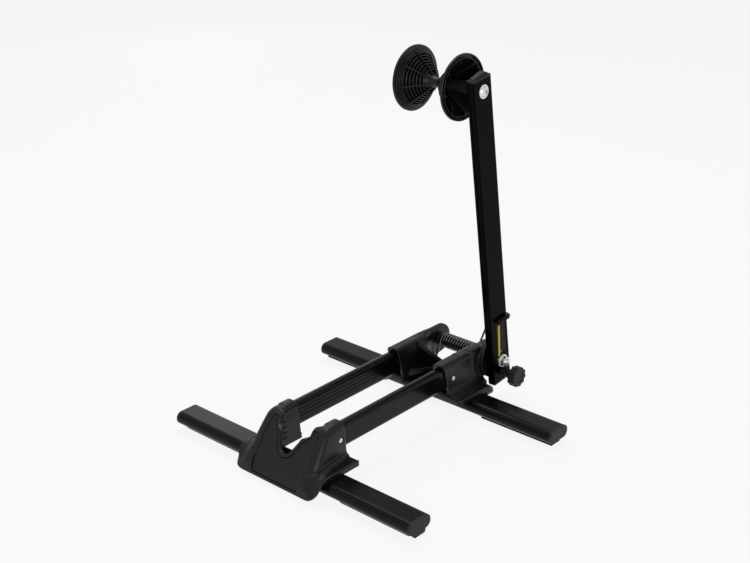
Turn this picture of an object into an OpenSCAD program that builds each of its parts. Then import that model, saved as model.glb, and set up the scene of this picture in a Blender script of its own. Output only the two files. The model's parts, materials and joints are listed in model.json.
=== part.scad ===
// Floor bike rack: two cross feet, two rails, a notched front cradle, a rear bracket
// and a sprung arm that carries a pair of cones.
// X runs across the rack, with the arm on the plus side, Y from front to rear, Z up.
// The floor is z = 0. Places along Y are counted from the front foot's centre line.

/* [Place] */
// Place of the front foot's centre line; it puts the middle of the whole over the origin
front_foot_y = -153.8; // [-300:0.1:0]

/* [Feet] */
// Length of each foot over its end caps
foot_len = 400; // [300:1:500]
// Width of a foot from front to rear
foot_wide = 37.5; // [25:0.5:60]
// Height of the foot's flat top
foot_top = 23; // [15:0.5:40]
// Height of the bar's underside
foot_under = 6; // [3:0.5:12]
// Radius of the bar's long edges
foot_edge = 8; // [4:0.5:8.5]
// Distance between the two feet
foot_pitch = 266.7; // [180:0.1:400]
// Wall of the foot bar
foot_wall = 1.8; // [1.2:0.1:3]
// Thickness of the bar's floor, which holds the pad channel
foot_floor = 4; // [3:0.5:6]
// Radius of the long edges of the bar's hollow
foot_hollow_edge = 4.5; // [2:0.5:5.5]
// Width of the pad channel
channel_wide = 8; // [5:0.5:14]
// Depth of the pad channel
channel_deep = 2.4; // [1:0.1:3]
// Thickness of an end cap's head
cap_thick = 4; // [2:0.5:8]
// Length of an end cap's plug
cap_plug = 9; // [5:0.5:20]
// Width of the block under a front end cap
cap_block_wide = 20; // [12:0.5:30]
// Height of that block's underside
cap_block_under = 1; // [0.5:0.5:4]
// Radius of that block's lower edges
cap_block_edge = 3; // [1:0.5:4]

/* [Pads] */
// Width of a rubber pad
pad_wide = 19; // [10:0.5:30]
// Distance from the foot's end to a pad's inner end
pad_reach = 116; // [60:1:125]
// Distance from the foot's end to a front pad's outer end
pad_inset_front = 9; // [5:0.5:40]
// Distance from the foot's end to a rear pad's outer end
pad_inset_rear = 4.5; // [4.5:0.5:40]
// Radius of a pad's lower edges
pad_edge = 1.6; // [0.5:0.1:2.5]
// Height of the key in the channel
pad_key = 2.1; // [1:0.1:2.4]

/* [Rails] */
// Distance from the middle to a rail's outer face
rail_face = 46.6; // [35:0.1:70]
// Width of a rail
rail_wide = 13.5; // [8:0.1:20]
// Height of a rail's top
rail_top = 71.3; // [50:0.1:100]
// Height of a rail's section
rail_high = 32.7; // [20:0.1:45]
// Radius of a rail's edges
rail_edge = 5.5; // [1:0.1:6.5]
// Wall of a rail
rail_wall = 1.6; // [1:0.1:3]
// Front end of the rails
rail_front = 18; // [5:0.5:40]
// How far the rails reach beyond the rear foot's centre line
rail_beyond = 19.3; // [10:0.1:45]
// Width of a groove in a rail's inner face
rail_groove_wide = 1.3; // [0.6:0.1:3]
// Depth of a groove in a rail's inner face
rail_groove_deep = 0.7; // [0.3:0.1:1]
// Height of the lowest groove
rail_groove_low = 51; // [42:0.5:60]
// Step from groove to groove
rail_groove_step = 5.2; // [3:0.1:8]
// Number of grooves
rail_groove_count = 3; // [1:1:5]

/* [Sleeves] */
// Distance from the middle to a sleeve's inner face
sleeve_in = 29.9; // [20:0.1:45]
// Distance from the middle to a sleeve's outer face
sleeve_out = 49.8; // [40:0.1:70]
// Radius of a sleeve's top edges
sleeve_edge = 6.5; // [2:0.5:9]
// Distance from the middle to the base flange's edge
flange_out = 70.5; // [55:0.5:90]
// Thickness of the base flange
flange_thick = 8; // [4:0.5:14]
// Radius where sleeve and flange meet
flange_fillet = 8; // [2:0.5:12]
// Radius of the flange's corners
flange_corner = 6; // [2:0.5:15]
// Distance from the middle to a foot bolt
foot_bolt_x = 40; // [34:0.5:46]

/* [Cradle] */
// Slope of the front plate: run to the rear per unit of height
plate_slope = 0.75; // [0:0.01:1]
// Place of the front plate's face at its lower edge
plate_y = -38; // [-60:0.5:-25]
// Height of the skirts' lower edge
skirt_low = 5; // [2:0.5:12]
// Thickness of the front plate
plate_thick = 5; // [3:0.5:10]
// Half width of the front plate's flat face
plate_half = 45; // [30:0.5:50]
// Height of the plate's horns
horn_top = 74.8; // [60:0.5:95]
// Height of the sleeves' top in the cradle
cradle_top = 76.5; // [74:0.5:95]
// Start of the sleeves' raised top
cradle_step = 22; // [10:0.5:35]
// Rear end of the cradle at its top
cradle_rear = 38; // [25:0.5:70]
// Slope of the cradle's rear end
cradle_rear_slope = 0.08; // [0:0.01:0.5]
// Radius of the cradle's rear top edges
cradle_round = 5; // [1:0.5:8]
// Rear end of the cradle's flanges
cradle_flange_rear = 41; // [25:0.5:75]
// Depth of the flared shell behind the front plate
shell_deep = 11; // [4:0.5:16]
// Width of the chamfer along the shell's edges
shell_chamfer = 6; // [1:0.5:10]
// Depth of the chamfer along the shell's edges
shell_chamfer_deep = 8.5; // [1:0.5:12]
// Width of the chamfer at the skirt's corners
skirt_corner = 11; // [5:0.5:20]
// Distance from the middle to the skirt's sides
skirt_out = 70.8; // [60:0.5:90]
// Radius of the skirt's lower corners, seen from the front
skirt_round = 17; // [2:0.5:20]
// Radius of the skirt's top edges
skirt_top_round = 4; // [1:0.5:8]
// Depth of the chamfer at the skirt's corners
skirt_corner_deep = 12; // [1:0.5:16]
// How far the skirt bulges beyond the leaning plate
bulge = 2.3; // [0:0.1:5]
// Wall of the skirt's ends
skirt_wall = 4; // [2:0.5:8]
// Depth of a grip tooth
tooth_deep = 1.2; // [0.5:0.1:2]
// Height of a grip tooth
tooth_high = 2; // [1:0.1:4]
// Length of a grip tooth
tooth_long = 5; // [2:0.5:10]
// Height of the lowest grip tooth
tooth_low = 36.7; // [30:0.1:50]
// Place of the grip teeth
tooth_y = 14; // [5:0.5:25]
// Place of the cradle's side screw
screw_front_y = 31.3; // [22:0.1:60]

/* [Bracket] */
// Front end of the bracket's sleeves at their top, before the rear foot's centre line
bracket_ahead = 43.7; // [25:0.1:60]
// Slope of the sleeves' front end
bracket_front_slope = 0.25; // [0:0.01:0.6]
// Front edge of the bracket's flanges, before the rear foot's centre line
bracket_flange_ahead = 34.7; // [20:0.1:50]
// Height of the sleeves' top in the bracket
bracket_top = 76.5; // [73:0.5:90]
// Place of the web's front face at the skirt's level, behind the rear foot's centre line
web_behind = 44.3; // [30:0.1:60]
// Thickness of the web
web_thick = 5; // [3:0.5:10]
// Height of the lowest point of the web's notch
web_notch_low = 44; // [35:0.5:60]
// Radius at the bottom of the web's notch
web_notch_edge = 5; // [2:0.5:15]
// Half width of the web's notch at the top
web_notch_half = 34; // [20:0.5:36]
// Height where the web's notch steepens, at the sleeves' inner faces
web_notch_knee = 69.5; // [55:0.5:74]
// Rear end of the sleeves in the bracket, behind the rear foot's centre line
sleeve_behind = 32.3; // [22:0.1:38]
// Height of the web's top
web_top = 76; // [60:0.5:80]
// Height of the rear skirt's lower edge
rear_skirt_low = 13; // [4:0.5:20]
// Depth of the skirt behind the web's face
rear_skirt_deep = 3.5; // [3:0.5:12]
// Radius of the rear skirt's corners
rear_corner = 11; // [4:0.5:20]
// Distance from the middle to an ear's inner face
ear_in = 36; // [34:0.5:45]
// Thickness of the left ear
ear_thick = 6; // [4:0.5:12]
// Radius of the left ear's end
ear_radius = 20.5; // [14:0.5:30]
// Radius of the right ear's disc
disc_radius = 27; // [22:0.5:34]
// Distance from the middle to the disc's outer face
disc_out = 56.9; // [50:0.1:60]
// Height of the ledge between the sleeves
ledge_low = 30; // [23:0.5:40]
// Thickness of that ledge
ledge_thick = 8; // [3:0.5:12]
// Place of the bracket's side screw, before the rear foot's centre line
screw_ahead = 23.7; // [10:0.1:30]
// Height of the side screws
screw_z = 53; // [45:0.5:65]

/* [Small screws and foot bolts] */
// Shank radius of a side screw
side_shank = 1.9; // [1.2:0.1:3]
// Head radius of a side screw
side_head = 2.9; // [2:0.1:5]
// Head height of a side screw
side_head_high = 1.6; // [1:0.1:4]
// Length of a side screw's shank
side_long = 11; // [6:0.5:14]
// Depth of a side screw's counterbore
side_sink = 2.2; // [1:0.1:4]
// Shank radius of a foot bolt
foot_bolt_shank = 3; // [2:0.1:5]
// Head radius of a foot bolt
foot_bolt_head = 5.2; // [4:0.1:8]
// Head height of a foot bolt
foot_bolt_head_high = 3; // [2:0.1:5]
// Height of a foot bolt's end
foot_bolt_end = 35; // [28:0.5:37]
// Radius over the corners of a foot nut
foot_nut_radius = 5.7; // [4:0.1:8]
// Height of a foot nut
foot_nut_high = 5; // [3:0.1:7]
// Height of a foot nut's lower face
foot_nut_low = 29; // [25:0.5:31]

/* [Pivot] */
// Place of the pivot's axis, behind the rear foot's centre line
pivot_behind = 51.9; // [35:0.1:70]
// Height of the pivot's axis
pivot_z = 57; // [50:0.1:70]
// Shank radius of the pivot bolt and the roller's axle
bolt_shank = 4; // [3:0.1:6]
// Radius over the corners of the pivot bolt's head
bolt_head = 7.5; // [5:0.1:10]
// Height of the pivot bolt's head
bolt_head_high = 5.3; // [3:0.1:8]
// Radius of the flange on a nut or a domed head
bolt_flange = 8.7; // [6:0.1:11]
// Thickness of that flange
bolt_flange_thick = 1.5; // [1:0.1:3]
// Height of the domed head over its flange
bolt_dome = 3.9; // [2:0.1:6]
// Radius over the corners of a nut
nut_radius = 7.5; // [5:0.1:10]
// Height of the pivot nut
nut_high = 8; // [5:0.1:12]
// Length of the bolt beyond its nut
bolt_beyond = 1.5; // [0.5:0.1:4]
// Radius of a plain washer
washer_radius = 9.5; // [8:0.1:14]
// Thickness of a plain washer
washer_thick = 1.4; // [0.8:0.1:3]
// Outer radius of the spring's mandrel
mandrel_radius = 6.1; // [5:0.1:8]
// Radius of the mandrel's flange
mandrel_flange = 8.4; // [7:0.1:12]
// Thickness of the mandrel's flange
mandrel_flange_thick = 3.2; // [1:0.1:6]

/* [Spring] */
// Outer diameter of the torsion spring
spring_outer = 19.4; // [14:0.1:26]
// Diameter of its wire
spring_wire = 2.8; // [1.5:0.1:4]
// Number of whole curls
spring_curls = 14; // [6:1:20]
// Rings of points on each curl
spring_rings = 8; // [8:1:24]
// Sides of the wire's section
spring_sides = 6; // [6:1:12]
// Place of the curls' left end
spring_left = -28; // [-34:0.5:-10]
// Place of the curls' right end
spring_right = 33; // [10:0.5:34]
// Angle at which the left leg leaves the curls
spring_left_angle = 154.5; // [90:0.5:200]
// Angle at which the right leg leaves the curls
spring_right_angle = 143.8; // [90:0.5:200]
// Length of the left leg
spring_left_leg = 27; // [15:0.5:40]
// Length of the right leg's straight start
spring_right_leg = 35; // [20:0.5:50]
// Distance of the hook from the pivot, along the arm
hook_up = 61; // [40:0.5:90]
// Place of the hook's end across the arm's face
hook_end = -4; // [-12:0.5:10]
// Radius of the hook's bends
hook_bend = 3.4; // [2:0.1:6]
// Outer radius of the hook's rubber sleeve
hook_sleeve_radius = 2.7; // [2:0.1:4]
// Height of the sleeve's ribs over its body
hook_rib = 0.35; // [0.1:0.05:1]
// Step from rib to rib
hook_rib_step = 2.2; // [1:0.1:4]

/* [Arm] */
// Lean of the arm to the front, from upright
arm_lean = 6.9; // [-31:0.1:90]
// Distance from the middle to the arm's inner face
arm_in = 57.8; // [50:0.1:70]
// Thickness of the arm
arm_thick = 11.6; // [6:0.1:20]
// Width of the arm
arm_wide = 35; // [20:0.5:50]
// Radius of the arm's long edges
arm_edge = 2.2; // [0.5:0.1:4]
// Wall of the arm
arm_wall = 1.7; // [1:0.1:3]
// Distance from the pivot to the roller's axis
arm_reach = 378; // [250:1:450]
// Length of the tube above the roller's axis
arm_above = 14.5; // [10:0.5:30]
// Length of the tube below the pivot
arm_below = 28.5; // [20:0.5:40]
// Thickness of the arm's end caps
arm_cap = 3; // [1:0.5:8]
// Rise of the top cap's ridge
arm_cap_rise = 4.5; // [1:0.5:8]
// Length of the arm caps' plugs
arm_plug = 5; // [3:0.5:10]
// Width of the groove in the arm's narrow faces
arm_groove_wide = 2.6; // [1:0.1:5]
// Depth of that groove
arm_groove_deep = 0.8; // [0.3:0.1:1.2]
// Outer radius of the pivot bush
bush_radius = 6; // [5:0.1:8]
// Radius of the bush's flange
bush_flange = 11; // [8:0.5:16]
// Length of the bare label
label_long = 44; // [20:1:80]
// Width of the label
label_wide = 17; // [8:0.5:30]
// Thickness of the label
label_thick = 0.3; // [0.1:0.05:0.6]
// Distance of the label's lower end from the pivot
label_low = 12; // [11:0.5:40]
// Distance of the label from the arm's rear edge
label_margin = 7.5; // [2:0.5:20]

/* [Plunger] */
// Distance of the locking pin from the pivot
pin_offset = 17.4; // [14:0.1:22]
// Radius of the locking pin
pin_radius = 2.5; // [1.5:0.1:4]
// Place of the pin's tip when engaged
pin_tip = 51.2; // [48:0.1:56]
// Turn of the arm to the rear, from rest
fold_back = 38; // [10:1:45]
// Turn of the arm to the front, from rest
fold_front = 82; // [60:1:84]
// Outer radius of the barrel
barrel_radius = 5.2; // [4:0.1:7]
// End of the barrel
barrel_end = 79; // [72:0.5:90]
// Radius of the barrel's spring chamber
chamber_radius = 3.9; // [3:0.1:5]
// Start of the spring chamber
chamber_start = 62; // [60:0.5:66]
// Thickness of the barrel's outer end
barrel_lid = 2; // [1:0.1:4]
// Thickness of the pin's collar
collar_thick = 1.4; // [0.8:0.1:3]
// Start of the knob's neck
knob_start = 79.6; // [76:0.1:90]
// Length of the knob's neck
knob_neck = 7.6; // [3:0.1:12]
// Radius of the neck at its start
knob_neck_small = 5.9; // [5:0.1:9]
// Radius of the neck at the knob's head
knob_neck_large = 8.2; // [6:0.1:12]
// Radius over the knob's lobes
knob_radius = 13.7; // [10:0.1:20]
// Thickness of the knob's head
knob_thick = 10.8; // [6:0.1:16]
// Number of lobes
knob_lobes = 10; // [5:1:16]
// Radius of the hollows between the lobes
knob_hollow = 2.6; // [1:0.1:5]
// Depth of the hollows
knob_hollow_deep = 1.5; // [0.5:0.1:3]
// Radius of the bare recess in the knob's face
knob_face = 8; // [4:0.1:11]
// Depth of that recess
knob_face_deep = 0.8; // [0.3:0.1:2]

/* [Cones] */
// Radius over a cone's rim
cone_radius = 41.5; // [25:0.5:60]
// Distance from the middle to a rim's outer plane
cone_plane = 39.5; // [25:0.5:55]
// Thickness of the rim
rim_thick = 4; // [2:0.5:8]
// Width of the rim's outer lip
rim_lip = 3.2; // [1.5:0.1:6]
// Radius of the waist between the cones
waist_radius = 6.2; // [5.6:0.1:10]
// Half length of the straight waist
waist_half = 4; // [1:0.5:10]
// Distance from the middle where the stepped part begins
step_start = 11; // [6:0.5:20]
// Radius where the stepped part begins
step_small = 10; // [7:0.5:15]
// Distance from the middle where the stepped part ends
step_end = 35; // [25:0.5:50]
// Radius where the stepped part ends
step_large = 35.6; // [20:0.5:55]
// Number of rings on a cone
ring_count = 7; // [3:1:12]
// Thickness of a ring
ring_thick = 1.5; // [0.8:0.1:3]
// Depth of the steps between the rings
ring_deep = 2.6; // [1:0.1:5]
// Thickness of the cone's skin along the axis
skin_thick = 2.2; // [1:0.1:4]
// Number of radial ribs
rib_count = 8; // [4:1:16]
// Thickness of a radial rib
rib_thick = 1.6; // [0.8:0.1:3]
// Radius of the ring wall on the hollow side
wall_radius = 35; // [20:0.5:50]
// Thickness of that ring wall
wall_thick = 1.7; // [0.8:0.1:3]
// Inner reach of the short gussets on the hollow side
gusset_in = 29; // [15:0.5:35]
// Length of the hub inside a cone, from the middle
hub_end = 17; // [10:0.5:30]
// Outer radius of the hub inside a cone
hub_radius = 8; // [6.5:0.1:12]
// Outer radius of a hub bush
roller_bush_radius = 5.6; // [4.8:0.1:7]
// Length of a hub bush
roller_bush_long = 6; // [3:0.5:12]
// Outer radius of the spacer by the arm
spacer_radius = 6.3; // [5:0.1:10]

/* [Clearances] */
// Gap of a running fit, on the radius
run_gap = 0.1; // [0.01:0.01:0.1]
// Gap between parts that are fixed together
fixed_gap = 0.1; // [0.02:0.01:0.3]
// Gap between parts that pass each other
pass_gap = 0.3; // [0.1:0.05:1]
// Overshoot of a cut beyond a face
over = 1; // [0.5:0.5:5]
// Smoothness of round faces
round_steps = 64; // [24:4:128]

/* [Hidden] */
rail_rear = foot_pitch + rail_beyond;
bracket_front = foot_pitch - bracket_ahead;
bracket_flange_front = foot_pitch - bracket_flange_ahead;
web_y = foot_pitch + web_behind;
sleeve_rear = foot_pitch + sleeve_behind;
screw_rear_y = foot_pitch - screw_ahead;
pivot_y = foot_pitch + pivot_behind;
$fn = round_steps;
foot_high = foot_top - foot_under;
plate_tilt = atan(plate_slope);
arm_out = arm_in + arm_thick;
rail_in = rail_face - rail_wide;
rail_low = rail_top - rail_high;
flange_top = foot_top + flange_thick;
big = 600;
bulge_high_share = [0, 0.2, 0.4, 0.6, 0.8, 1];
bulge_share = [0, 0.45, 0.8, 1, 0.8, 0];
corner_share = [0, 0, 0.1, 0.35, 0.7, 1];
corner_deep_share = [5, 1, 0.62, 0.3, 0.08, 0];
pocket_half = skirt_out - skirt_round;
barrel_start = arm_in + fixed_gap;
nut_start = arm_out + fixed_gap + washer_thick;
bolt_end = nut_start + nut_high + bolt_beyond;
ear_out = ear_in + ear_thick;
rest_angle = arm_lean - 90;
slot_start = rest_angle - fold_back;
slot_end = rest_angle + fold_front;
slot_half = pin_radius + pass_gap;
knob_head = knob_start + knob_neck;
knob_end = knob_head + knob_thick;
collar_start = chamber_start + fixed_gap;
arm_sweep = norm([arm_below + arm_cap, arm_wide / 2]) + over;
coil_radius = (spring_outer - spring_wire) / 2;
wire_radius = spring_wire / 2;
hook_back = arm_wide / 2 + pass_gap + hook_sleeve_radius + hook_rib;
hook_front = arm_out + pass_gap + hook_sleeve_radius + hook_rib;
ring_pitch = (step_large - step_small) / ring_count;
step_run = (step_end - step_start) / (step_large - step_small);

// share of the notch's half width, and height, from the bottom of the notch upwards
notch_half_share = [10.0, 11.2, 16.8, 22.5, 26.5, 31.3, 33.4, 37.0];
notch_high_share = [40.0, 43.7, 52.0, 57.6, 60.2, 67.5, 73.5, 82.0];
// half width and height of the flared shell, from its lower edge upwards
shell_half_share = [70.0, 64.0, 59.0, 50.0];
shell_high_share = [30.0, 33.5, 38.5, 73.0];
// rise of each grip tooth over the lowest
tooth_rise_share = [0, 6.0, 13.6, 20.9, 32.9];
notch_low = 35.3;
notch_round = 10;

// a width by height rectangle on the axis, with round corners
module bar2d(w, h, r)
{
    translate([-w / 2, r]) square([w, h - 2 * r]);
    translate([r - w / 2, 0]) square([w - 2 * r, h]);
    for (s = [-1, 1]) for (v = [r, h - r])
        translate([s * (w / 2 - r), v]) circle(r);
}

// a drawing in Y and Z, drawn out along X
module along_x(x0, x1)
{
    translate([x0, 0, 0]) rotate([90, 0, 90]) linear_extrude(x1 - x0) children();
}

// a drawing in X and Z, drawn out along Y
module along_y(y0, y1)
{
    translate([0, y1, 0]) rotate([90, 0, 0]) linear_extrude(y1 - y0) children();
}

// a round bar along X
module rod_x(x0, x1, r)
{
    translate([x0, 0, 0]) rotate([0, 90, 0]) cylinder(h = x1 - x0, r = r);
}

// a tube along X
module tube_x(x0, x1, r, bore)
{
    translate([x0, 0, 0]) rotate([0, 90, 0]) linear_extrude(x1 - x0) difference() {
        circle(r);
        circle(bore);
    }
}

// all places along Y are counted from the front foot
module in_frame()
{
    translate([0, front_foot_y, 0]) children();
}

module both_sides()
{
    children();
    mirror([1, 0, 0]) children();
}

module at_pivot()
{
    translate([0, pivot_y, pivot_z]) children();
}

// the arm's own frame: Z along the arm from the pivot, Y to its rear edge
module at_arm()
{
    at_pivot() rotate([arm_lean, 0, 0]) children();
}

// frames of the two leaning plates: Z up along the plate, Y into it
module at_front_plate()
{
    translate([0, plate_y, skirt_low]) rotate([-plate_tilt, 0, 0]) children();
}

module at_rear_plate()
{
    translate([0, web_y, skirt_low]) rotate([plate_tilt, 0, 0]) children();
}

function along_plate(z) = (z - skirt_low) / cos(plate_tilt);

// Feet

module foot_bar(y)
{
    translate([0, y, 0]) difference() {
        along_x(cap_thick - foot_len / 2, foot_len / 2 - cap_thick)
            translate([0, foot_under]) bar2d(foot_wide, foot_high, foot_edge);
        along_x(-foot_len / 2, foot_len / 2)
            translate([0, foot_under + foot_floor])
                bar2d(foot_wide - 2 * foot_wall, foot_high - foot_floor - foot_wall,
                      foot_hollow_edge);
        along_x(-foot_len / 2, foot_len / 2)
            translate([-channel_wide / 2, foot_under - over])
                square([channel_wide, channel_deep + over]);
        for (s = [-1, 1])
            translate([s * foot_bolt_x, 0, 0])
                cylinder(h = foot_top + over, r = foot_bolt_shank + run_gap);
    }
}

module front_foot_bar() { color("#1a1b1d") in_frame() foot_bar(0); }

module rear_foot_bar() { color("#1a1b1d") in_frame() foot_bar(foot_pitch); }

module foot_cap(y, side, block)
{
    translate([0, y, 0]) mirror([side < 0 ? 1 : 0, 0, 0]) {
        along_x(foot_len / 2 - cap_thick, foot_len / 2) {
            translate([0, foot_under]) bar2d(foot_wide, foot_high, foot_edge);
            if (block)
                translate([0, cap_block_under])
                    bar2d(cap_block_wide, foot_edge + foot_under - cap_block_under,
                          cap_block_edge);
        }
        along_x(foot_len / 2 - cap_thick - cap_plug, foot_len / 2 - cap_thick)
            translate([0, foot_under + foot_floor + fixed_gap])
                bar2d(foot_wide - 2 * foot_wall - 2 * fixed_gap,
                      foot_high - foot_floor - foot_wall - 2 * fixed_gap,
                      foot_hollow_edge - fixed_gap);
    }
}

module front_foot_cap_left() { color("#2b2c2e") in_frame() foot_cap(0, -1, true); }

module front_foot_cap_right() { color("#2b2c2e") in_frame() foot_cap(0, 1, true); }

module rear_foot_cap_left() { color("#2b2c2e") in_frame() foot_cap(foot_pitch, -1, false); }

module rear_foot_cap_right() { color("#2b2c2e") in_frame() foot_cap(foot_pitch, 1, false); }

module foot_pad(y, side, inset)
{
    translate([0, y, 0]) mirror([side < 0 ? 1 : 0, 0, 0])
        along_x(foot_len / 2 - pad_reach, foot_len / 2 - inset) {
        translate([0, 0]) bar2d(pad_wide, foot_under, pad_edge);
        translate([fixed_gap - channel_wide / 2, foot_under / 2])
            square([channel_wide - 2 * fixed_gap, foot_under / 2 + pad_key]);
    }
}

module front_pad_left() { color("#111213") in_frame() foot_pad(0, -1, pad_inset_front); }

module front_pad_right() { color("#111213") in_frame() foot_pad(0, 1, pad_inset_front); }

module rear_pad_left() { color("#111213") in_frame() foot_pad(foot_pitch, -1, pad_inset_rear); }

module rear_pad_right() { color("#111213") in_frame() foot_pad(foot_pitch, 1, pad_inset_rear); }

// Rails

module rail2d(gap)
{
    translate([rail_face - rail_wide / 2, rail_low - gap])
        bar2d(rail_wide + 2 * gap, rail_high + 2 * gap, rail_edge + gap);
}

module rail_solid()
{
    difference() {
        along_y(rail_front, rail_rear) difference() {
            rail2d(0);
            rail2d(-rail_wall);
            for (i = [0:rail_groove_count - 1])
                translate([rail_in - over, rail_groove_low + i * rail_groove_step])
                    square([rail_groove_deep + over, rail_groove_wide]);
        }
        for (y = [screw_front_y, screw_rear_y])
            translate([0, y, screw_z])
                rod_x(rail_face - rail_wide / 2, sleeve_out, side_shank + fixed_gap / 2);
    }
}

module right_rail() { color("#202124") in_frame() rail_solid(); }

module left_rail() { color("#202124") in_frame() mirror([1, 0, 0]) rail_solid(); }

// Front cradle

// one sleeve with its flange, in X and Z
module sleeve2d(top)
{
    w = sleeve_out - sleeve_in;
    translate([sleeve_in, foot_top]) square([w, top - foot_top - sleeve_edge]);
    translate([sleeve_in + sleeve_edge, foot_top]) square([w - 2 * sleeve_edge, top - foot_top]);
    for (x = [sleeve_in + sleeve_edge, sleeve_out - sleeve_edge])
        translate([x, top - sleeve_edge]) circle(sleeve_edge);
    difference() {
        translate([sleeve_out, flange_top]) square([flange_fillet, flange_fillet]);
        translate([sleeve_out + flange_fillet, flange_top + flange_fillet])
            circle(flange_fillet);
    }
}

// plan of a base, from y0 to y1, with corner radii
module base2d(y0, y1, r0, r1)
{
    translate([-flange_out, y0 + r0]) square([2 * flange_out, y1 - y0 - r0 - r1]);
    translate([r0 - flange_out, y0]) square([2 * flange_out - 2 * r0, y1 - y0 - r1]);
    translate([r1 - flange_out, y0 + r0]) square([2 * flange_out - 2 * r1, y1 - y0 - r0]);
    for (s = [-1, 1]) {
        translate([s * (flange_out - r0), y0 + r0]) circle(r0);
        translate([s * (flange_out - r1), y1 - r1]) circle(r1);
    }
}

module notch2d()
{
    polygon(concat(
        [for (i = [0:len(notch_half_share) - 1])
            [notch_half_share[i], along_plate(notch_high_share[i])]],
        [for (i = [len(notch_half_share) - 1:-1:0])
            [-notch_half_share[i], along_plate(notch_high_share[i])]]));
    translate([0, along_plate(notch_low) + notch_round]) circle(notch_round);
}

module front_plate2d()
{
    translate([-plate_half, 0]) square([2 * plate_half, along_plate(horn_top)]);
}

module shell2d()
{
    last = len(shell_half_share) - 1;
    polygon(concat([for (i = [0:last]) [shell_half_share[i], shell_high_share[i]]],
                   [for (i = [last:-1:0]) [-shell_half_share[i], shell_high_share[i]]]));
}

// a wedge along the straight edge of the shell, in the plate's frame
module shell_wedge()
{
    x0 = shell_half_share[2];
    s0 = along_plate(shell_high_share[2]);
    x1 = shell_half_share[3];
    s1 = along_plate(shell_high_share[3]);
    translate([x0, 0, s0]) rotate([0, atan2(x1 - x0, s1 - s0), 0])
        linear_extrude(norm([x1 - x0, s1 - s0]) + shell_deep)
            polygon([[-shell_chamfer - over * shell_chamfer / shell_chamfer_deep, -over],
                     [2 * over, -over], [2 * over, shell_chamfer_deep + over],
                     [over * shell_chamfer / shell_chamfer_deep, shell_chamfer_deep + over]]);
}

// the skirt in front of the foot, seen from the front
module skirt2d()
{
    high = flange_top - skirt_low;
    translate([-skirt_out, skirt_round])
        square([2 * skirt_out, high - skirt_round - skirt_top_round]);
    translate([skirt_round - skirt_out, 0])
        square([2 * skirt_out - 2 * skirt_round, high - skirt_top_round]);
    translate([skirt_top_round - skirt_out, skirt_round])
        square([2 * skirt_out - 2 * skirt_top_round, high - skirt_round]);
    for (s = [-1, 1]) {
        translate([s * (skirt_out - skirt_round), skirt_round]) circle(skirt_round);
        translate([s * (skirt_out - skirt_top_round), high - skirt_top_round])
            circle(skirt_top_round);
    }
}

// the skirt below the flange's top, bulging a little beyond the leaning plate
module skirt_ends()
{
    intersection() {
        along_y(plate_y - bulge, -foot_wide / 2) translate([0, skirt_low]) skirt2d();
        along_x(-skirt_out, skirt_out)
            polygon(concat([for (i = [0:len(bulge_share) - 1])
                               [plate_y + bulge_high_share[i] * plate_slope * (flange_top - skirt_low)
                                    - bulge * bulge_share[i],
                                skirt_low + bulge_high_share[i] * (flange_top - skirt_low)]],
                           [[0, flange_top], [0, skirt_low]]));
        linear_extrude(big)
            polygon(concat([for (i = [0:len(corner_share) - 1])
                               [skirt_out - skirt_corner * corner_share[i],
                                plate_y - bulge + skirt_corner_deep * corner_deep_share[i]]],
                           [for (i = [len(corner_share) - 1:-1:0])
                               [skirt_corner * corner_share[i] - skirt_out,
                                plate_y - bulge + skirt_corner_deep * corner_deep_share[i]]]));
    }
}

module side_screw_cut(y)
{
    translate([0, y, screw_z]) {
        rod_x(rail_face - rail_wide / 2, sleeve_out + over, side_shank + fixed_gap);
        rod_x(sleeve_out - side_sink, sleeve_out + over, side_head + pass_gap);
    }
}

module foot_bolt_cut(y)
{
    translate([foot_bolt_x, y, 0]) {
        translate([0, 0, foot_top - over])
            cylinder(h = rail_low - foot_top + over, r = foot_bolt_shank + run_gap);
        translate([0, 0, foot_nut_low])
            cylinder(h = rail_low - foot_nut_low + over, r = foot_nut_radius + fixed_gap, $fn = 6);
    }
}

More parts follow.
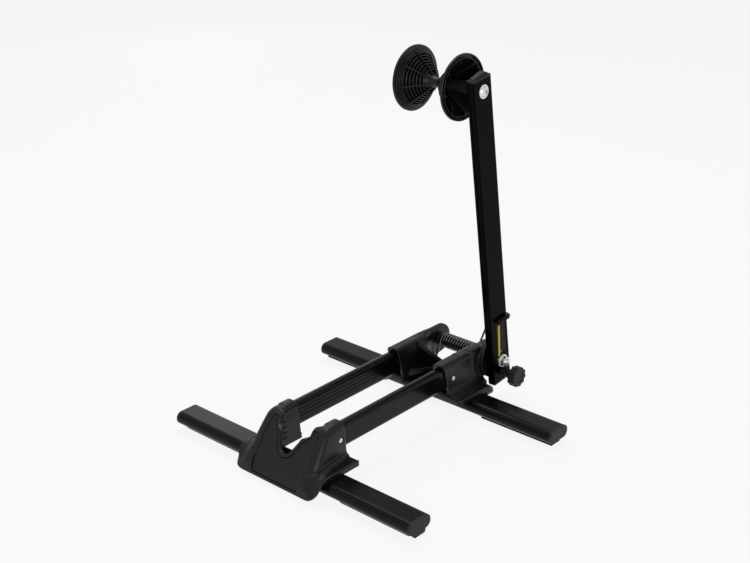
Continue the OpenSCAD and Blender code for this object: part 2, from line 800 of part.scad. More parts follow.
module front_cradle()
{
    color("#27282a") in_frame() difference() {
        union() {
            skirt_ends();
            both_sides() {
                along_y(plate_y, cradle_step) sleeve2d(horn_top);
                along_y(cradle_step, foot_wide * 2) sleeve2d(cradle_top);
            }
            translate([0, 0, foot_top]) linear_extrude(flange_thick)
                base2d(-foot_wide / 2 - skirt_corner, cradle_flange_rear, skirt_corner,
                       flange_corner);
            at_front_plate() translate([0, plate_thick, 0]) rotate([90, 0, 0])
                linear_extrude(plate_thick) front_plate2d();
            intersection() {
                along_y(plate_y, foot_wide * 2) shell2d();
                at_front_plate() translate([-flange_out, -over, 0])
                    cube([2 * flange_out, shell_deep + over, big]);
            }
        }
        // all in front of the leaning plate and of the bulging skirt
        difference() {
            at_front_plate() translate([-big / 2, -big, -big / 2]) cube([big, big, big]);
            skirt_ends();
        }
        // all behind the sloping rear end
        translate([0, cradle_rear, cradle_top]) rotate([atan(cradle_rear_slope), 0, 0])
            translate([-big / 2, 0, -big]) cube([big, big, 2 * big]);
        translate([0, cradle_rear - cradle_round, cradle_top - cradle_round])
            along_x(-big / 2, big / 2) difference() {
                square([cradle_round + over, cradle_round + over]);
                circle(cradle_round);
            }
        // the tyre notch, through plate and sleeves' front edges
        at_front_plate() translate([0, plate_thick * 2, 0]) rotate([90, 0, 0])
            linear_extrude(plate_thick * 3) notch2d();
        // the room between the sleeves, behind the plate
        intersection() {
            at_front_plate() translate([-sleeve_in, plate_thick, -big / 2])
                cube([2 * sleeve_in, big, big]);
            translate([-sleeve_in, -foot_wide / 2 - pass_gap, 0])
                cube([2 * sleeve_in, big, big]);
        }
        // the hollow behind the front skirt
        intersection() {
            at_front_plate() translate([-pocket_half, plate_thick, -big / 2])
                cube([2 * pocket_half, big, big]);
            translate([-pocket_half, plate_y, 0])
                cube([2 * pocket_half, -plate_y - foot_wide / 2, foot_top - over]);
        }
        // the slanting undersides of the skirt's ends
        both_sides() along_x(pocket_half - over, big / 2)
            polygon([[plate_y + skirt_wall, 0], [plate_y + skirt_wall, skirt_low],
                     [plate_y + skirt_wall + plate_slope * (foot_top - skirt_low), foot_top],
                     [0, foot_top], [0, 0]]);
        // the foot and all that is lower behind it
        translate([-big / 2, -foot_wide / 2 - pass_gap, 0]) cube([big, big, foot_top]);
        // leaning chamfers from the plate's edges to the sleeves' sides
        both_sides() at_front_plate() shell_wedge();
        both_sides() {
            along_y(rail_front - fixed_gap, big / 2) rail2d(fixed_gap);
            side_screw_cut(screw_front_y);
            foot_bolt_cut(0);
            for (rise = tooth_rise_share)
                translate([sleeve_in - over, tooth_y - tooth_long / 2, tooth_low + rise])
                    cube([tooth_deep + over, tooth_long, tooth_high]);
        }
    }
}

// Rear bracket

module left_ear2d()
{
    circle(ear_radius);
    polygon([[rail_rear - pivot_y, foot_top - pivot_z], [rail_rear - pivot_y, bracket_top - pivot_z],
             [0, ear_radius], [ear_radius * cos(plate_tilt), -ear_radius * sin(plate_tilt)],
             [ear_radius * cos(plate_tilt) - plate_slope * (pivot_z - ear_radius * sin(plate_tilt)
              - rear_skirt_low), rear_skirt_low - pivot_z],
             [foot_wide * 2 / 3 - pivot_y + foot_pitch, rear_skirt_low - pivot_z],
             [foot_wide * 2 / 3 - pivot_y + foot_pitch, foot_top - pivot_z]]);
}

module right_ear2d()
{
    circle(ear_radius);
    translate([rail_rear - pivot_y, flange_top - pivot_z - over])
        square([pivot_y - rail_rear, bracket_top - flange_top + over]);
    translate([rail_rear - pivot_y, -ear_radius]) square([pivot_y - rail_rear, ear_radius]);
}

module web2d()
{
    low = along_plate(web_notch_low);
    high = along_plate(web_top);
    difference() {
        translate([-ear_in, 0]) square([2 * ear_in, high]);
        polygon([[-web_notch_half, high], [-sleeve_in, along_plate(web_notch_knee)],
                 [-web_notch_edge, low + web_notch_edge / 2],
                 [web_notch_edge, low + web_notch_edge / 2],
                 [sleeve_in, along_plate(web_notch_knee)], [web_notch_half, high],
                 [web_notch_half, high + over], [-web_notch_half, high + over]]);
        translate([0, low + web_notch_edge]) circle(web_notch_edge);
    }
}

module ledge2d()
{
    deep = web_y - bracket_front;
    half_share = [1.1, 0.6, 0.25];
    front_share = [0.2534, 0.4612, 0.598];
    polygon(concat([for (i = [0:2])
                       [-sleeve_in * half_share[i], bracket_front + deep * front_share[i]]],
                   [for (i = [2:-1:0])
                       [sleeve_in * half_share[i], bracket_front + deep * front_share[i]]],
                   [[sleeve_in + over, web_y], [-sleeve_in - over, web_y]]));
}

// the bolt's bore and the arc in which the locking pin travels
module pin_slot()
{
    turn = slot_end - slot_start;
    along_x(pin_tip - pass_gap, disc_out + over) {
        intersection() {
            difference() {
                circle(pin_offset + slot_half);
                circle(pin_offset - slot_half);
            }
            polygon(concat([[0, 0]], [for (i = [0:4])
                2 * disc_radius * [cos(slot_start + i * turn / 4), sin(slot_start + i * turn / 4)]]));
        }
        for (a = [slot_start, slot_end])
            translate([pin_offset * cos(a), pin_offset * sin(a)]) circle(slot_half);
    }
}

module rear_bracket()
{
    color("#27282a") in_frame() difference() {
        union() {
            difference() {
                union() {
                    difference() {
                        both_sides() along_y(bracket_front, sleeve_rear) sleeve2d(bracket_top);
                        // sloping front end of the sleeves
                        translate([-big / 2, bracket_front, bracket_top])
                            rotate([atan(bracket_front_slope), 0, 0])
                                translate([0, -big, -big / 2]) cube([big, big, big]);
                        // taper of the sleeves' inner walls behind the rails
                        both_sides() linear_extrude(big)
                            polygon([[sleeve_in - over, rail_rear], [sleeve_in, rail_rear],
                                     [ear_in, sleeve_rear], [ear_in, sleeve_rear + over],
                                     [sleeve_in - over, sleeve_rear + over]]);
                    }
                    translate([0, 0, rear_skirt_low]) linear_extrude(flange_top - rear_skirt_low)
                        base2d(bracket_flange_front, web_y + rear_skirt_deep, flange_corner,
                               rear_corner);
                }
                // the room between the sleeves
                translate([-sleeve_in, 0, 0])
                    cube([2 * sleeve_in, foot_pitch + foot_wide / 2, big]);
                // sloping rear end of the base
                at_rear_plate() translate([-big / 2, rear_skirt_deep, -big / 2])
                    cube([big, big, big]);
            }
            at_rear_plate() rotate([90, 0, 0]) translate([0, 0, -web_thick])
                linear_extrude(web_thick) web2d();
            difference() {
                translate([0, 0, ledge_low]) linear_extrude(ledge_thick) ledge2d();
                at_rear_plate() translate([-big / 2, web_thick / 2, -big / 2])
                    cube([big, big, big]);
            }
            at_pivot() along_x(-ear_out, -ear_in) left_ear2d();
            at_pivot() along_x(ear_in, sleeve_out) right_ear2d();
            at_pivot() rod_x(sleeve_out - over, disc_out, disc_radius);
        }
        // the foot, and all that is lower in front of it
        translate([-big / 2, 0, 0])
            cube([big, foot_pitch + foot_wide / 2 + pass_gap, foot_top]);
        translate([-big / 2, 0, -big + rear_skirt_low]) cube([big, big, big]);
        // relief for the arm's lower end
        at_pivot() rod_x(disc_out, big / 2, arm_sweep);
        at_pivot() rod_x(-big / 2, big / 2, bolt_shank + run_gap);
        at_pivot() pin_slot();
        both_sides() {
            along_y(0, rail_rear + fixed_gap) rail2d(fixed_gap);
            side_screw_cut(screw_rear_y);
            foot_bolt_cut(foot_pitch);
        }
    }
}

// Small screws, foot bolts and nuts

module side_screws(y)
{
    both_sides() translate([0, y, screw_z]) difference() {
        union() {
            rod_x(sleeve_out - side_sink, sleeve_out - side_sink + side_head_high, side_head);
            rod_x(sleeve_out - side_sink - side_long + over, sleeve_out - side_sink, side_shank);
        }
        translate([sleeve_out - side_sink + side_head_high / 2, 0, 0]) rotate([0, 90, 0])
            cylinder(h = side_head_high, r = side_shank * 0.8, $fn = 6);
    }
}

module cradle_side_screws() { color("#c9ccd0") in_frame() side_screws(screw_front_y); }

module bracket_side_screws() { color("#c9ccd0") in_frame() side_screws(screw_rear_y); }

module foot_bolts(y)
{
    both_sides() translate([foot_bolt_x, y, 0]) difference() {
        union() {
            translate([0, 0, foot_under - foot_bolt_head_high])
                cylinder(h = foot_bolt_head_high, r = foot_bolt_head);
            translate([0, 0, foot_under])
                cylinder(h = foot_bolt_end - foot_under, r = foot_bolt_shank);
        }
        translate([0, 0, foot_under - foot_bolt_head_high - over])
            cylinder(h = foot_bolt_head_high / 2 + over, r = foot_bolt_shank * 0.75, $fn = 6);
    }
}

module front_foot_bolts() { color("#b5b8bc") in_frame() foot_bolts(0); }

module rear_foot_bolts() { color("#b5b8bc") in_frame() foot_bolts(foot_pitch); }

module foot_nuts(y)
{
    both_sides() translate([foot_bolt_x, y, foot_nut_low]) difference() {
        cylinder(h = foot_nut_high, r = foot_nut_radius, $fn = 6);
        translate([0, 0, -over])
            cylinder(h = foot_nut_high + 2 * over, r = foot_bolt_shank + run_gap);
    }
}

module front_foot_nuts() { color("#b5b8bc") in_frame() foot_nuts(0); }

module rear_foot_nuts() { color("#b5b8bc") in_frame() foot_nuts(foot_pitch); }

// Pivot

module pivot_bolt()
{
    color("#9da1a6") in_frame() at_pivot() {
        rod_x(-ear_out - fixed_gap - washer_thick, bolt_end, bolt_shank);
        translate([-ear_out - fixed_gap - washer_thick - bolt_head_high, 0, 0])
            rotate([0, 90, 0]) cylinder(h = bolt_head_high, r = bolt_head, $fn = 6);
    }
}

module pivot_head_washer()
{
    color("#9da1a6") in_frame() at_pivot()
        tube_x(-ear_out - fixed_gap - washer_thick, -ear_out - fixed_gap, washer_radius,
               bolt_shank + run_gap);
}

module pivot_nut_washer()
{
    color("#9da1a6") in_frame() at_arm()
        tube_x(arm_out + fixed_gap, nut_start, bolt_flange + fixed_gap, bolt_shank + run_gap);
}

module pivot_nut()
{
    color("#d0d3d7") in_frame() at_pivot() difference() {
        union() {
            rod_x(nut_start, nut_start + bolt_flange_thick, bolt_flange);
            translate([nut_start, 0, 0]) rotate([0, 90, 0])
                cylinder(h = nut_high - bolt_flange_thick, r = nut_radius, $fn = 6);
            rod_x(nut_start, nut_start + nut_high, nut_radius * 0.82);
        }
        rod_x(0, big / 2, bolt_shank + run_gap);
    }
}

module spring_mandrel()
{
    color("#161718") in_frame() at_pivot() {
        tube_x(fixed_gap - ear_in, ear_in - fixed_gap, mandrel_radius, bolt_shank + run_gap);
        tube_x(fixed_gap - ear_in, fixed_gap - ear_in + mandrel_flange_thick, mandrel_flange,
               bolt_shank + run_gap);
    }
}

// Torsion spring and its hook

// points of the wire's middle line, about the pivot
function on_coil(a, x) = [x, coil_radius * cos(a), coil_radius * sin(a)];
function turn_lean(p) = [p[0], p[1] * cos(arm_lean) - p[2] * sin(arm_lean),
                         p[1] * sin(arm_lean) + p[2] * cos(arm_lean)];
function bend_arc(c, u, v, n) = [for (i = [0:n]) c + hook_bend * (u * cos(90 * i / n)
                                 + v * sin(90 * i / n))];
coil_turn = 360 * spring_curls + spring_left_angle - spring_right_angle;
coil_steps = spring_curls * spring_rings;
left_way = [0, -sin(spring_left_angle), cos(spring_left_angle)];
right_way = [0, sin(spring_right_angle), -cos(spring_right_angle)];
leg_corner = on_coil(spring_right_angle, spring_right) + spring_right_leg * right_way;
hook_path = [for (p = concat(
        [[spring_right, hook_back, hook_up - 3 * hook_bend]],
        bend_arc([spring_right + hook_bend, hook_back, hook_up - hook_bend], [-1, 0, 0], [0, 0, 1], 4),
        bend_arc([hook_front - hook_bend, hook_back - hook_bend, hook_up], [0, 1, 0], [1, 0, 0], 4),
        [[hook_front, (hook_back + hook_end) / 2, hook_up], [hook_front, hook_end, hook_up]]))
    turn_lean(p)];
wire_path = concat(
    [on_coil(spring_left_angle, spring_left) + spring_left_leg * left_way,
     on_coil(spring_left_angle, spring_left) + spring_left_leg / 2 * left_way],
    [for (i = [0:coil_steps])
        on_coil(spring_left_angle - coil_turn * i / coil_steps,
                spring_left + (spring_right - spring_left) * i / coil_steps)],
    [on_coil(spring_right_angle, spring_right) + spring_right_leg / 2 * right_way,
     leg_corner - spring_wire * right_way, leg_corner + spring_wire / 2 * [0, 0, 1]],
    hook_path);

function unit(v) = v / norm(v);
function way_at(p, i) = unit(p[min(i + 1, len(p) - 1)] - p[max(i - 1, 0)]);
function square_to(v, t) = unit(v - (v * t) * t);
wire_ways = [for (i = [0:len(wire_path) - 1]) way_at(wire_path, i)];
wire_sides = [for (i = 0, v = square_to([1, 0, 0], wire_ways[0]); i < len(wire_path);
                   i = i + 1,
                   v = i < len(wire_path) ? square_to(v, wire_ways[i]) : v) v];

module swept_wire(path, ways, sides, r, n)
{
    count = len(path);
    points = [for (i = [0:count - 1]) for (k = [0:n - 1])
        path[i] + r * cos(360 * k / n) * sides[i]
                + r * sin(360 * k / n) * cross(ways[i], sides[i])];
    walls = [for (i = [0:count - 2]) for (k = [0:n - 1]) for (h = [0, 1])
        h == 0 ? [i * n + k, (i + 1) * n + k, i * n + (k + 1) % n]
               : [i * n + (k + 1) % n, (i + 1) * n + k, (i + 1) * n + (k + 1) % n]];
    ends = concat([for (k = [1:n - 2]) [0, k, k + 1]],
                  [for (k = [1:n - 2]) [(count - 1) * n, (count - 1) * n + k + 1,
                                        (count - 1) * n + k]]);
    polyhedron(points = points, faces = concat(walls, ends));
}

module torsion_spring()
{
    color("#17181a") in_frame() at_pivot()
        swept_wire(wire_path, wire_ways, wire_sides, wire_radius, spring_sides);
}

// least gap of the wire to itself, measured between points more than half a curl apart
spring_gap = min([for (i = [0:len(wire_path) - 1]) for (j = [i + 5:1:len(wire_path) - 1])
    norm(wire_path[i] - wire_path[j])]) - spring_wire;
echo("least gap of the spring to itself", spring_gap);

module hook_sleeve()
{
    long = hook_back - hook_bend - hook_end;
    turns = floor(long / hook_rib_step);
    color("#0f1011") in_frame() at_arm() translate([hook_front, hook_end - spring_wire / 2, hook_up])
        rotate([-90, 0, 0]) difference() {
            union() {
                cylinder(h = long, r = hook_sleeve_radius);
                for (i = [0:turns - 1])
                    translate([0, 0, i * hook_rib_step])
                        cylinder(h = hook_rib_step / 2, r = hook_sleeve_radius + hook_rib);
            }
            translate([0, 0, spring_wire / 4])
                cylinder(h = long + over, r = wire_radius + fixed_gap);
        }
}

// Arm

module arm2d(gap)
{
    translate([arm_in + arm_thick / 2, gap - arm_wide / 2])
        bar2d(arm_thick - 2 * gap, arm_wide - 2 * gap, max(arm_edge - gap, arm_edge / 4));
}

module arm_tube()
{
    top = arm_reach + arm_above;
    color("#1c1d1f") in_frame() at_arm() difference() {
        translate([0, 0, -arm_below]) linear_extrude(top + arm_below) difference() {
            arm2d(0);
            arm2d(arm_wall);
            for (s = [-1, 1])
                translate([arm_in + arm_thick / 2, s * arm_wide / 2])
                    square([arm_groove_wide, 2 * arm_groove_deep], center = true);
        }
        rod_x(0, big / 2, bush_radius + fixed_gap / 2);
        translate([0, 0, -pin_offset]) rod_x(0, big / 2, barrel_radius + fixed_gap / 2);
        translate([0, 0, arm_reach]) rod_x(0, big / 2, bolt_shank + run_gap);
    }
}

module arm_top_cap()
{
    top = arm_reach + arm_above;
    color("#303134") in_frame() at_arm() {
        translate([0, 0, top]) linear_extrude(arm_cap) arm2d(0);
        translate([0, 0, top - arm_plug]) linear_extrude(arm_plug)
            arm2d(arm_wall + fixed_gap);
        // the low ridge along the cap
        translate([0, 0, top + arm_cap]) along_x(arm_in + arm_edge, arm_out - arm_edge)
            polygon([[arm_edge - arm_wide / 2, -arm_cap / 2], [arm_wide / 2 - arm_edge, -arm_cap / 2],
                     [arm_wide / 2 - arm_edge * 2, arm_cap_rise * 0.55], [arm_wide / 4, arm_cap_rise],
                     [0, arm_cap_rise * 0.9], [arm_edge * 2 - arm_wide / 2, arm_cap_rise * 0.3]]);
    }
}

module arm_bottom_cap()
{
    color("#303134") in_frame() at_arm() {
        translate([0, 0, -arm_below - arm_cap]) linear_extrude(arm_cap) arm2d(0);
        translate([0, 0, -arm_below]) linear_extrude(arm_plug) difference() {
            arm2d(arm_wall + fixed_gap);
            translate([arm_in, -barrel_radius - over])
                square([arm_thick, 2 * barrel_radius + 2 * over]);
        }
    }
}

module pivot_bush()
{
    color("#3b3c3f") in_frame() at_arm() {
        tube_x(disc_out + fixed_gap, arm_in, bush_flange, bolt_shank + run_gap);
        tube_x(arm_in, arm_out, bush_radius, bolt_shank + run_gap);
    }
}

module label_plate()
{
    color("#0e0f11") in_frame() at_arm() along_x(arm_out, arm_out + label_thick)
        translate([arm_wide / 2 - label_margin - label_wide, label_low])
            square([label_wide, label_long]);
}

// Plunger

module at_pin()
{
    at_arm() translate([0, 0, -pin_offset]) children();
}

module plunger_barrel()
{
    color("#141517") in_frame() at_pin() rotate([0, 90, 0]) rotate_extrude()
        polygon([[pin_radius + run_gap, barrel_start], [barrel_radius, barrel_start],
                 [barrel_radius, barrel_end], [pin_radius + run_gap, barrel_end],
                 [pin_radius + run_gap, barrel_end - barrel_lid],
                 [chamber_radius, barrel_end - barrel_lid], [chamber_radius, chamber_start],
                 [pin_radius + run_gap, chamber_start]]);
}

module plunger_pin()
{
    color("#b9bcc0") in_frame() at_pin() {
        rod_x(pin_tip, knob_head + knob_thick / 2, pin_radius);
        rod_x(collar_start, collar_start + collar_thick, chamber_radius - pass_gap);
    }
}

module plunger_spring()
{
    color("#8d9094") in_frame() at_pin()
        tube_x(collar_start + collar_thick + fixed_gap, barrel_end - barrel_lid - fixed_gap,
               chamber_radius - pass_gap, pin_radius + pass_gap);
}

module knob()
{
    color("#232426") in_frame() at_pin() difference() {
        union() {
            translate([knob_start, 0, 0]) rotate([0, 90, 0])
                cylinder(h = knob_neck, r1 = knob_neck_small, r2 = knob_neck_large);
            along_x(knob_head, knob_end) difference() {
                circle(knob_radius);
                for (i = [0:knob_lobes - 1])
                    rotate(i * 360 / knob_lobes)
                        translate([knob_radius - knob_hollow_deep + knob_hollow, 0])
                            circle(knob_hollow);
            }
        }
        rod_x(knob_end - knob_face_deep, knob_end + over, knob_face);
        rod_x(knob_start - over, knob_head + knob_thick / 2 + fixed_gap, pin_radius + fixed_gap / 2);
    }
}

// Roller

function step_x(r) = step_start + (r - step_small) * step_run;

// outline of the right cone about its axis, as radius and distance
module cone2d()
{
    inner = skin_thick + ring_deep;
    // the skin, the waist, the hub and the rim
    polygon([[waist_radius, 0], [waist_radius, waist_half], [step_small - ring_deep, step_start - over],
             [step_small, step_start + ring_deep], [step_large, step_end + ring_deep],
             [cone_radius - rim_lip, cone_plane - rim_thick],
             [cone_radius, cone_plane - rim_thick + over / 2], [cone_radius, cone_plane],
             [cone_radius - rim_lip, cone_plane], [cone_radius - rim_lip, cone_plane - rim_thick / 3],
             [wall_radius + wall_thick, cone_plane - rim_thick / 3],
             [wall_radius - over, step_x(wall_radius - over) + inner],
             [hub_radius, step_x(hub_radius) + inner], [hub_radius, hub_end],
             [bolt_shank + run_gap, hub_end], [bolt_shank + run_gap, 0]]);
    // the steps between rim and rings
    for (i = [0:2])
        translate([step_large - over + i * over * 1.2, cone_plane - rim_thick - over + i * over * 0.7])
            square([over * 1.2, over * 1.2]);
    // the rings
    for (i = [0:ring_count - 1])
        translate([step_small + i * ring_pitch + ring_pitch / 2, step_x(step_small + i * ring_pitch)])
            square([ring_thick, ring_deep * 2]);
    // the ring wall on the hollow side
    translate([wall_radius - wall_thick, step_x(wall_radius - wall_thick) + ring_deep])
        square([wall_thick, cone_plane - over - step_x(wall_radius - wall_thick) - ring_deep]);
}

module cone_solid()
{
    inner = skin_thick + ring_deep;
    difference() {
        union() {
            rotate([0, 90, 0]) rotate_extrude() cone2d();
            for (i = [0:rib_count - 1]) rotate([i * 360 / rib_count, 0, 0]) {
                // ribs on the stepped side
                translate([0, rib_thick / 2, 0]) rotate([90, 0, 0]) linear_extrude(rib_thick)
                    polygon([[waist_half, waist_radius - over], [step_start, step_small],
                             [step_end, step_large], [step_end + ring_deep, step_large],
                             [step_start + ring_deep + over, step_small]]);
                // gussets on the hollow side, tapering down the cone
                translate([0, rib_thick / 2, 0]) rotate([90, 0, 0]) linear_extrude(rib_thick)
                    polygon([[cone_plane - over / 2, cone_radius - rim_lip + over / 2],
                             [cone_plane - over / 2, wall_radius - wall_thick],
                             [cone_plane - rim_thick * 1.5, gusset_in],
                             [step_x(gusset_in - wall_thick) + inner, gusset_in - 2 * wall_thick],
                             [hub_end + over, hub_radius + skin_thick],
                             [step_x(hub_radius) + ring_deep + over, hub_radius + skin_thick],
                             [step_x(wall_radius) + ring_deep, wall_radius],
                             [cone_plane - rim_thick / 2, cone_radius - rim_lip + over / 2]]);
            }
        }
        rod_x(-over, big / 2, bolt_shank + run_gap);
        rod_x(hub_end - roller_bush_long, big / 2, roller_bush_radius + fixed_gap / 2);
    }
}

module at_roller()
{
    at_arm() translate([0, 0, arm_reach]) children();
}

module right_cone() { color("#1d1e20") in_frame() at_roller() cone_solid(); }

module left_cone() { color("#1d1e20") in_frame() at_roller() mirror([1, 0, 0]) cone_solid(); }

module hub_bush()
{
    tube_x(hub_end - roller_bush_long, hub_end, roller_bush_radius, bolt_shank + run_gap);
}

module roller_bush_right() { color("#d8d4c6") in_frame() at_roller() hub_bush(); }

module roller_bush_left() { color("#d8d4c6") in_frame() at_roller() mirror([1, 0, 0]) hub_bush(); }

module roller_spacer()
{
    color("#4a4b4e") in_frame() at_roller()
        tube_x(hub_end + pass_gap, arm_in, spacer_radius, bolt_shank + run_gap);
}

module roller_axle()
{
    color("#d0d3d7") in_frame() at_roller() difference() {
        union() {
            rod_x(-hub_end - pass_gap - nut_high - bolt_beyond, arm_out, bolt_shank);
            rod_x(arm_out, arm_out + bolt_flange_thick, bolt_flange);
            translate([arm_out + bolt_flange_thick, 0, 0]) rotate([0, 90, 0]) rotate_extrude()
                intersection() {
                    square([bolt_flange, bolt_dome]);
                    translate([0, -bolt_dome]) circle(2 * bolt_dome);
                }
        }
        translate([arm_out + bolt_flange_thick, 0, 0]) rotate([0, 90, 0])
            cylinder(h = bolt_dome + over, r = bolt_shank * 0.72, $fn = 6);
    }
}

module roller_nut()
{
    color("#9da1a6") in_frame() at_roller() difference() {
        union() {
            translate([-hub_end - pass_gap - nut_high, 0, 0]) rotate([0, 90, 0])
                cylinder(h = nut_high - bolt_flange_thick, r = nut_radius, $fn = 6);
            rod_x(-hub_end - pass_gap - bolt_flange_thick, -hub_end - pass_gap, nut_radius);
        }
        rod_x(-big / 2, 0, bolt_shank + run_gap);
    }
}

front_foot_bar();
rear_foot_bar();
front_foot_cap_left();
front_foot_cap_right();
rear_foot_cap_left();
rear_foot_cap_right();
front_pad_left();
front_pad_right();
rear_pad_left();
rear_pad_right();
left_rail();
right_rail();
front_cradle();
rear_bracket();
cradle_side_screws();
bracket_side_screws();
front_foot_bolts();
rear_foot_bolts();
front_foot_nuts();
rear_foot_nuts();
pivot_bolt();
pivot_head_washer();
pivot_nut_washer();
pivot_nut();
spring_mandrel();
torsion_spring();
hook_sleeve();
arm_tube();
arm_top_cap();
arm_bottom_cap();
pivot_bush();
label_plate();
plunger_barrel();
plunger_pin();
plunger_spring();
knob();
left_cone();
right_cone();
roller_bush_left();
roller_bush_right();
roller_spacer();
roller_axle();
roller_nut();
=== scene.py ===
"""Looks of the floor bike rack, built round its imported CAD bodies. Metres, Z up."""
import json
import math

import bmesh
import bpy
import numpy as np
from mathutils import Matrix, Vector


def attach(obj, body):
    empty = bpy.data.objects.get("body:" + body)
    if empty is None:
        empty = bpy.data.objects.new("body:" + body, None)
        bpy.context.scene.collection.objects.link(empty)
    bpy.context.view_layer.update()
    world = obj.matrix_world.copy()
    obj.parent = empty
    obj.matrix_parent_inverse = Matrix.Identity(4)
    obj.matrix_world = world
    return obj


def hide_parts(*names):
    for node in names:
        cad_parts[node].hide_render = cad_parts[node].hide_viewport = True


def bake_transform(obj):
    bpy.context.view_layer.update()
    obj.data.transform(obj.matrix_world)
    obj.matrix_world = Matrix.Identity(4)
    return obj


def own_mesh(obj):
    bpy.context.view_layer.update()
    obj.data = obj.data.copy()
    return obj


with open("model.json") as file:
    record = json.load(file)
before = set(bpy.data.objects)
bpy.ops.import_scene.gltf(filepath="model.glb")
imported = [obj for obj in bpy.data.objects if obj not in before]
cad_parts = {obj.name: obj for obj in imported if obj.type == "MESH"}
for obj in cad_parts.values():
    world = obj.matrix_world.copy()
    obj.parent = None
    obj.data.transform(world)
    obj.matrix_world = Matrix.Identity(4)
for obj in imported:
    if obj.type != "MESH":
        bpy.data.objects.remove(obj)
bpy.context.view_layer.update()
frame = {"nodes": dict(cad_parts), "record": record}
NODES = frame["nodes"]
MM = 0.001


def placed(name, data):
    """A new object with that data, in the scene."""
    made = bpy.data.objects.new(name, data)
    bpy.context.scene.collection.objects.link(made)
    return made


# Camera: its place in the rack's frame, and its own right and up directions
CAMERA_AT = Vector((1.030923, -1.108441, 0.852108))
CAMERA_RIGHT = Vector((0.73733, 0.67518, -0.02187))
CAMERA_UP = Vector((-0.25035, 0.30317, 0.91946))
CAMERA_LENS = 64.04
SENSOR = 36


def add_camera():
    """The camera that took the photograph, as fitted to it."""
    data = bpy.data.cameras.new("camera")
    data.sensor_fit = "HORIZONTAL"
    data.sensor_width = SENSOR
    data.lens = CAMERA_LENS
    data.clip_start = 0.05
    data.clip_end = 30
    camera = placed("camera", data)
    right = CAMERA_RIGHT.normalized()
    back = right.cross(CAMERA_UP).normalized()
    up = back.cross(right)
    rotation = Matrix((right, up, back)).transposed()
    camera.matrix_world = Matrix.Translation(CAMERA_AT) @ rotation.to_4x4()
    bpy.context.scene.camera = camera


# Materials, all procedural
class Shader:
    """A material and short ways to add nodes to it."""

    def __init__(self, name):
        self.material = bpy.data.materials.new(name)
        self.material.use_nodes = True
        self.tree = self.material.node_tree
        self.tree.nodes.clear()
        self.output = self.tree.nodes.new("ShaderNodeOutputMaterial")
        self.place = self.node("ShaderNodeTexCoord").outputs["Object"]

    def node(self, kind, **values):
        made = self.tree.nodes.new(kind)
        for key, value in values.items():
            setattr(made, key, value)
        return made

    def link(self, source, target):
        self.tree.links.new(source, target)

    def feed(self, value, socket):
        if isinstance(value, bpy.types.NodeSocket):
            self.link(value, socket)
        else:
            socket.default_value = value

    def noise(self, per_metre, detail=2.0, stretch=None, rough=0.5):
        """Noise between 0 and 1 whose spots are about 1 / per_metre wide."""
        place = self.place
        if stretch:
            mapping = self.node("ShaderNodeMapping")
            self.link(place, mapping.inputs["Vector"])
            mapping.inputs["Scale"].default_value = stretch
            place = mapping.outputs["Vector"]
        noise = self.node("ShaderNodeTexNoise")
        self.link(place, noise.inputs["Vector"])
        noise.inputs["Scale"].default_value = per_metre
        noise.inputs["Detail"].default_value = detail
        noise.inputs["Roughness"].default_value = rough
        return noise.outputs["Fac"]

    def ramp(self, value, from_low, from_high, to_low, to_high):
        ranged = self.node("ShaderNodeMapRange")
        self.feed(value, ranged.inputs["Value"])
        ranged.inputs["From Min"].default_value = from_low
        ranged.inputs["From Max"].default_value = from_high
        ranged.inputs["To Min"].default_value = to_low
        ranged.inputs["To Max"].default_value = to_high
        return ranged.outputs["Result"]

    def mix(self, share, low, high):
        mixed = self.node("ShaderNodeMix", data_type="RGBA")
        self.feed(share, mixed.inputs["Factor"])
        self.feed(low, mixed.inputs["A"])
        self.feed(high, mixed.inputs["B"])
        return mixed.outputs["Result"]

    def bump(self, height, depth, strength=1.0, under=None):
        bump = self.node("ShaderNodeBump")
        bump.inputs["Strength"].default_value = strength
        bump.inputs["Distance"].default_value = depth
        self.link(height, bump.inputs["Height"])
        if under:
            self.link(under, bump.inputs["Normal"])
        return bump.outputs["Normal"]

    def surface(self, **values):
        shader = self.node("ShaderNodeBsdfPrincipled")
        for key, value in values.items():
            self.feed(value, shader.inputs[key.replace("_", " ")])
        self.link(shader.outputs["BSDF"], self.output.inputs["Surface"])
        return self.material


def grey(level):
    """A near-neutral colour, a little blue."""
    return (level, level, level * 1.04, 1)


HOLLOW = "hollow"


def moulded(name, level, rough, grain_depth=0.03 * MM, edge_wear_and_highlight=1.9, specular=0.2, dull_and_painted_shade_part=None):
    """Moulded plastic: fine spark texture, faint cloudiness, paler edges that are part rubbed wear
    and part painted highlight.
    """
    s = Shader(name)
    grain = s.noise(1900, 3.0, rough=0.6)
    cloud = s.noise(22, 3.0)
    # Sharp edges are painted paler: partly rubbed wear, and, the higher the factor, a painted
    # highlight along the rims.
    edge = s.node("ShaderNodeNewGeometry").outputs["Pointiness"]
    rubbed_and_highlit = s.ramp(edge, 0.54, 0.64, 0.0, 0.55)
    plain = s.mix(cloud, grey(level * 0.8), grey(level * 1.2))
    colour = s.mix(rubbed_and_highlit, plain, grey(level * edge_wear_and_highlight))
    roughness = s.ramp(cloud, 0.3, 0.7, rough - 0.05, rough + 0.05)
    # A marked part, such as a cone's hollow, is made less glossy and painted darker: painted shade.
    if dull_and_painted_shade_part:
        dullness_and_painted_shade = s.node("ShaderNodeAttribute", attribute_name=dull_and_painted_shade_part).outputs["Fac"]
        specular = s.ramp(dullness_and_painted_shade, 0, 1, specular, specular * 0.15)
        colour = s.mix(dullness_and_painted_shade, colour, grey(level * 0.3))
    return s.surface(Base_Color=colour, Roughness=roughness, Specular_IOR_Level=specular,
                     Normal=s.bump(grain, grain_depth, 0.6))


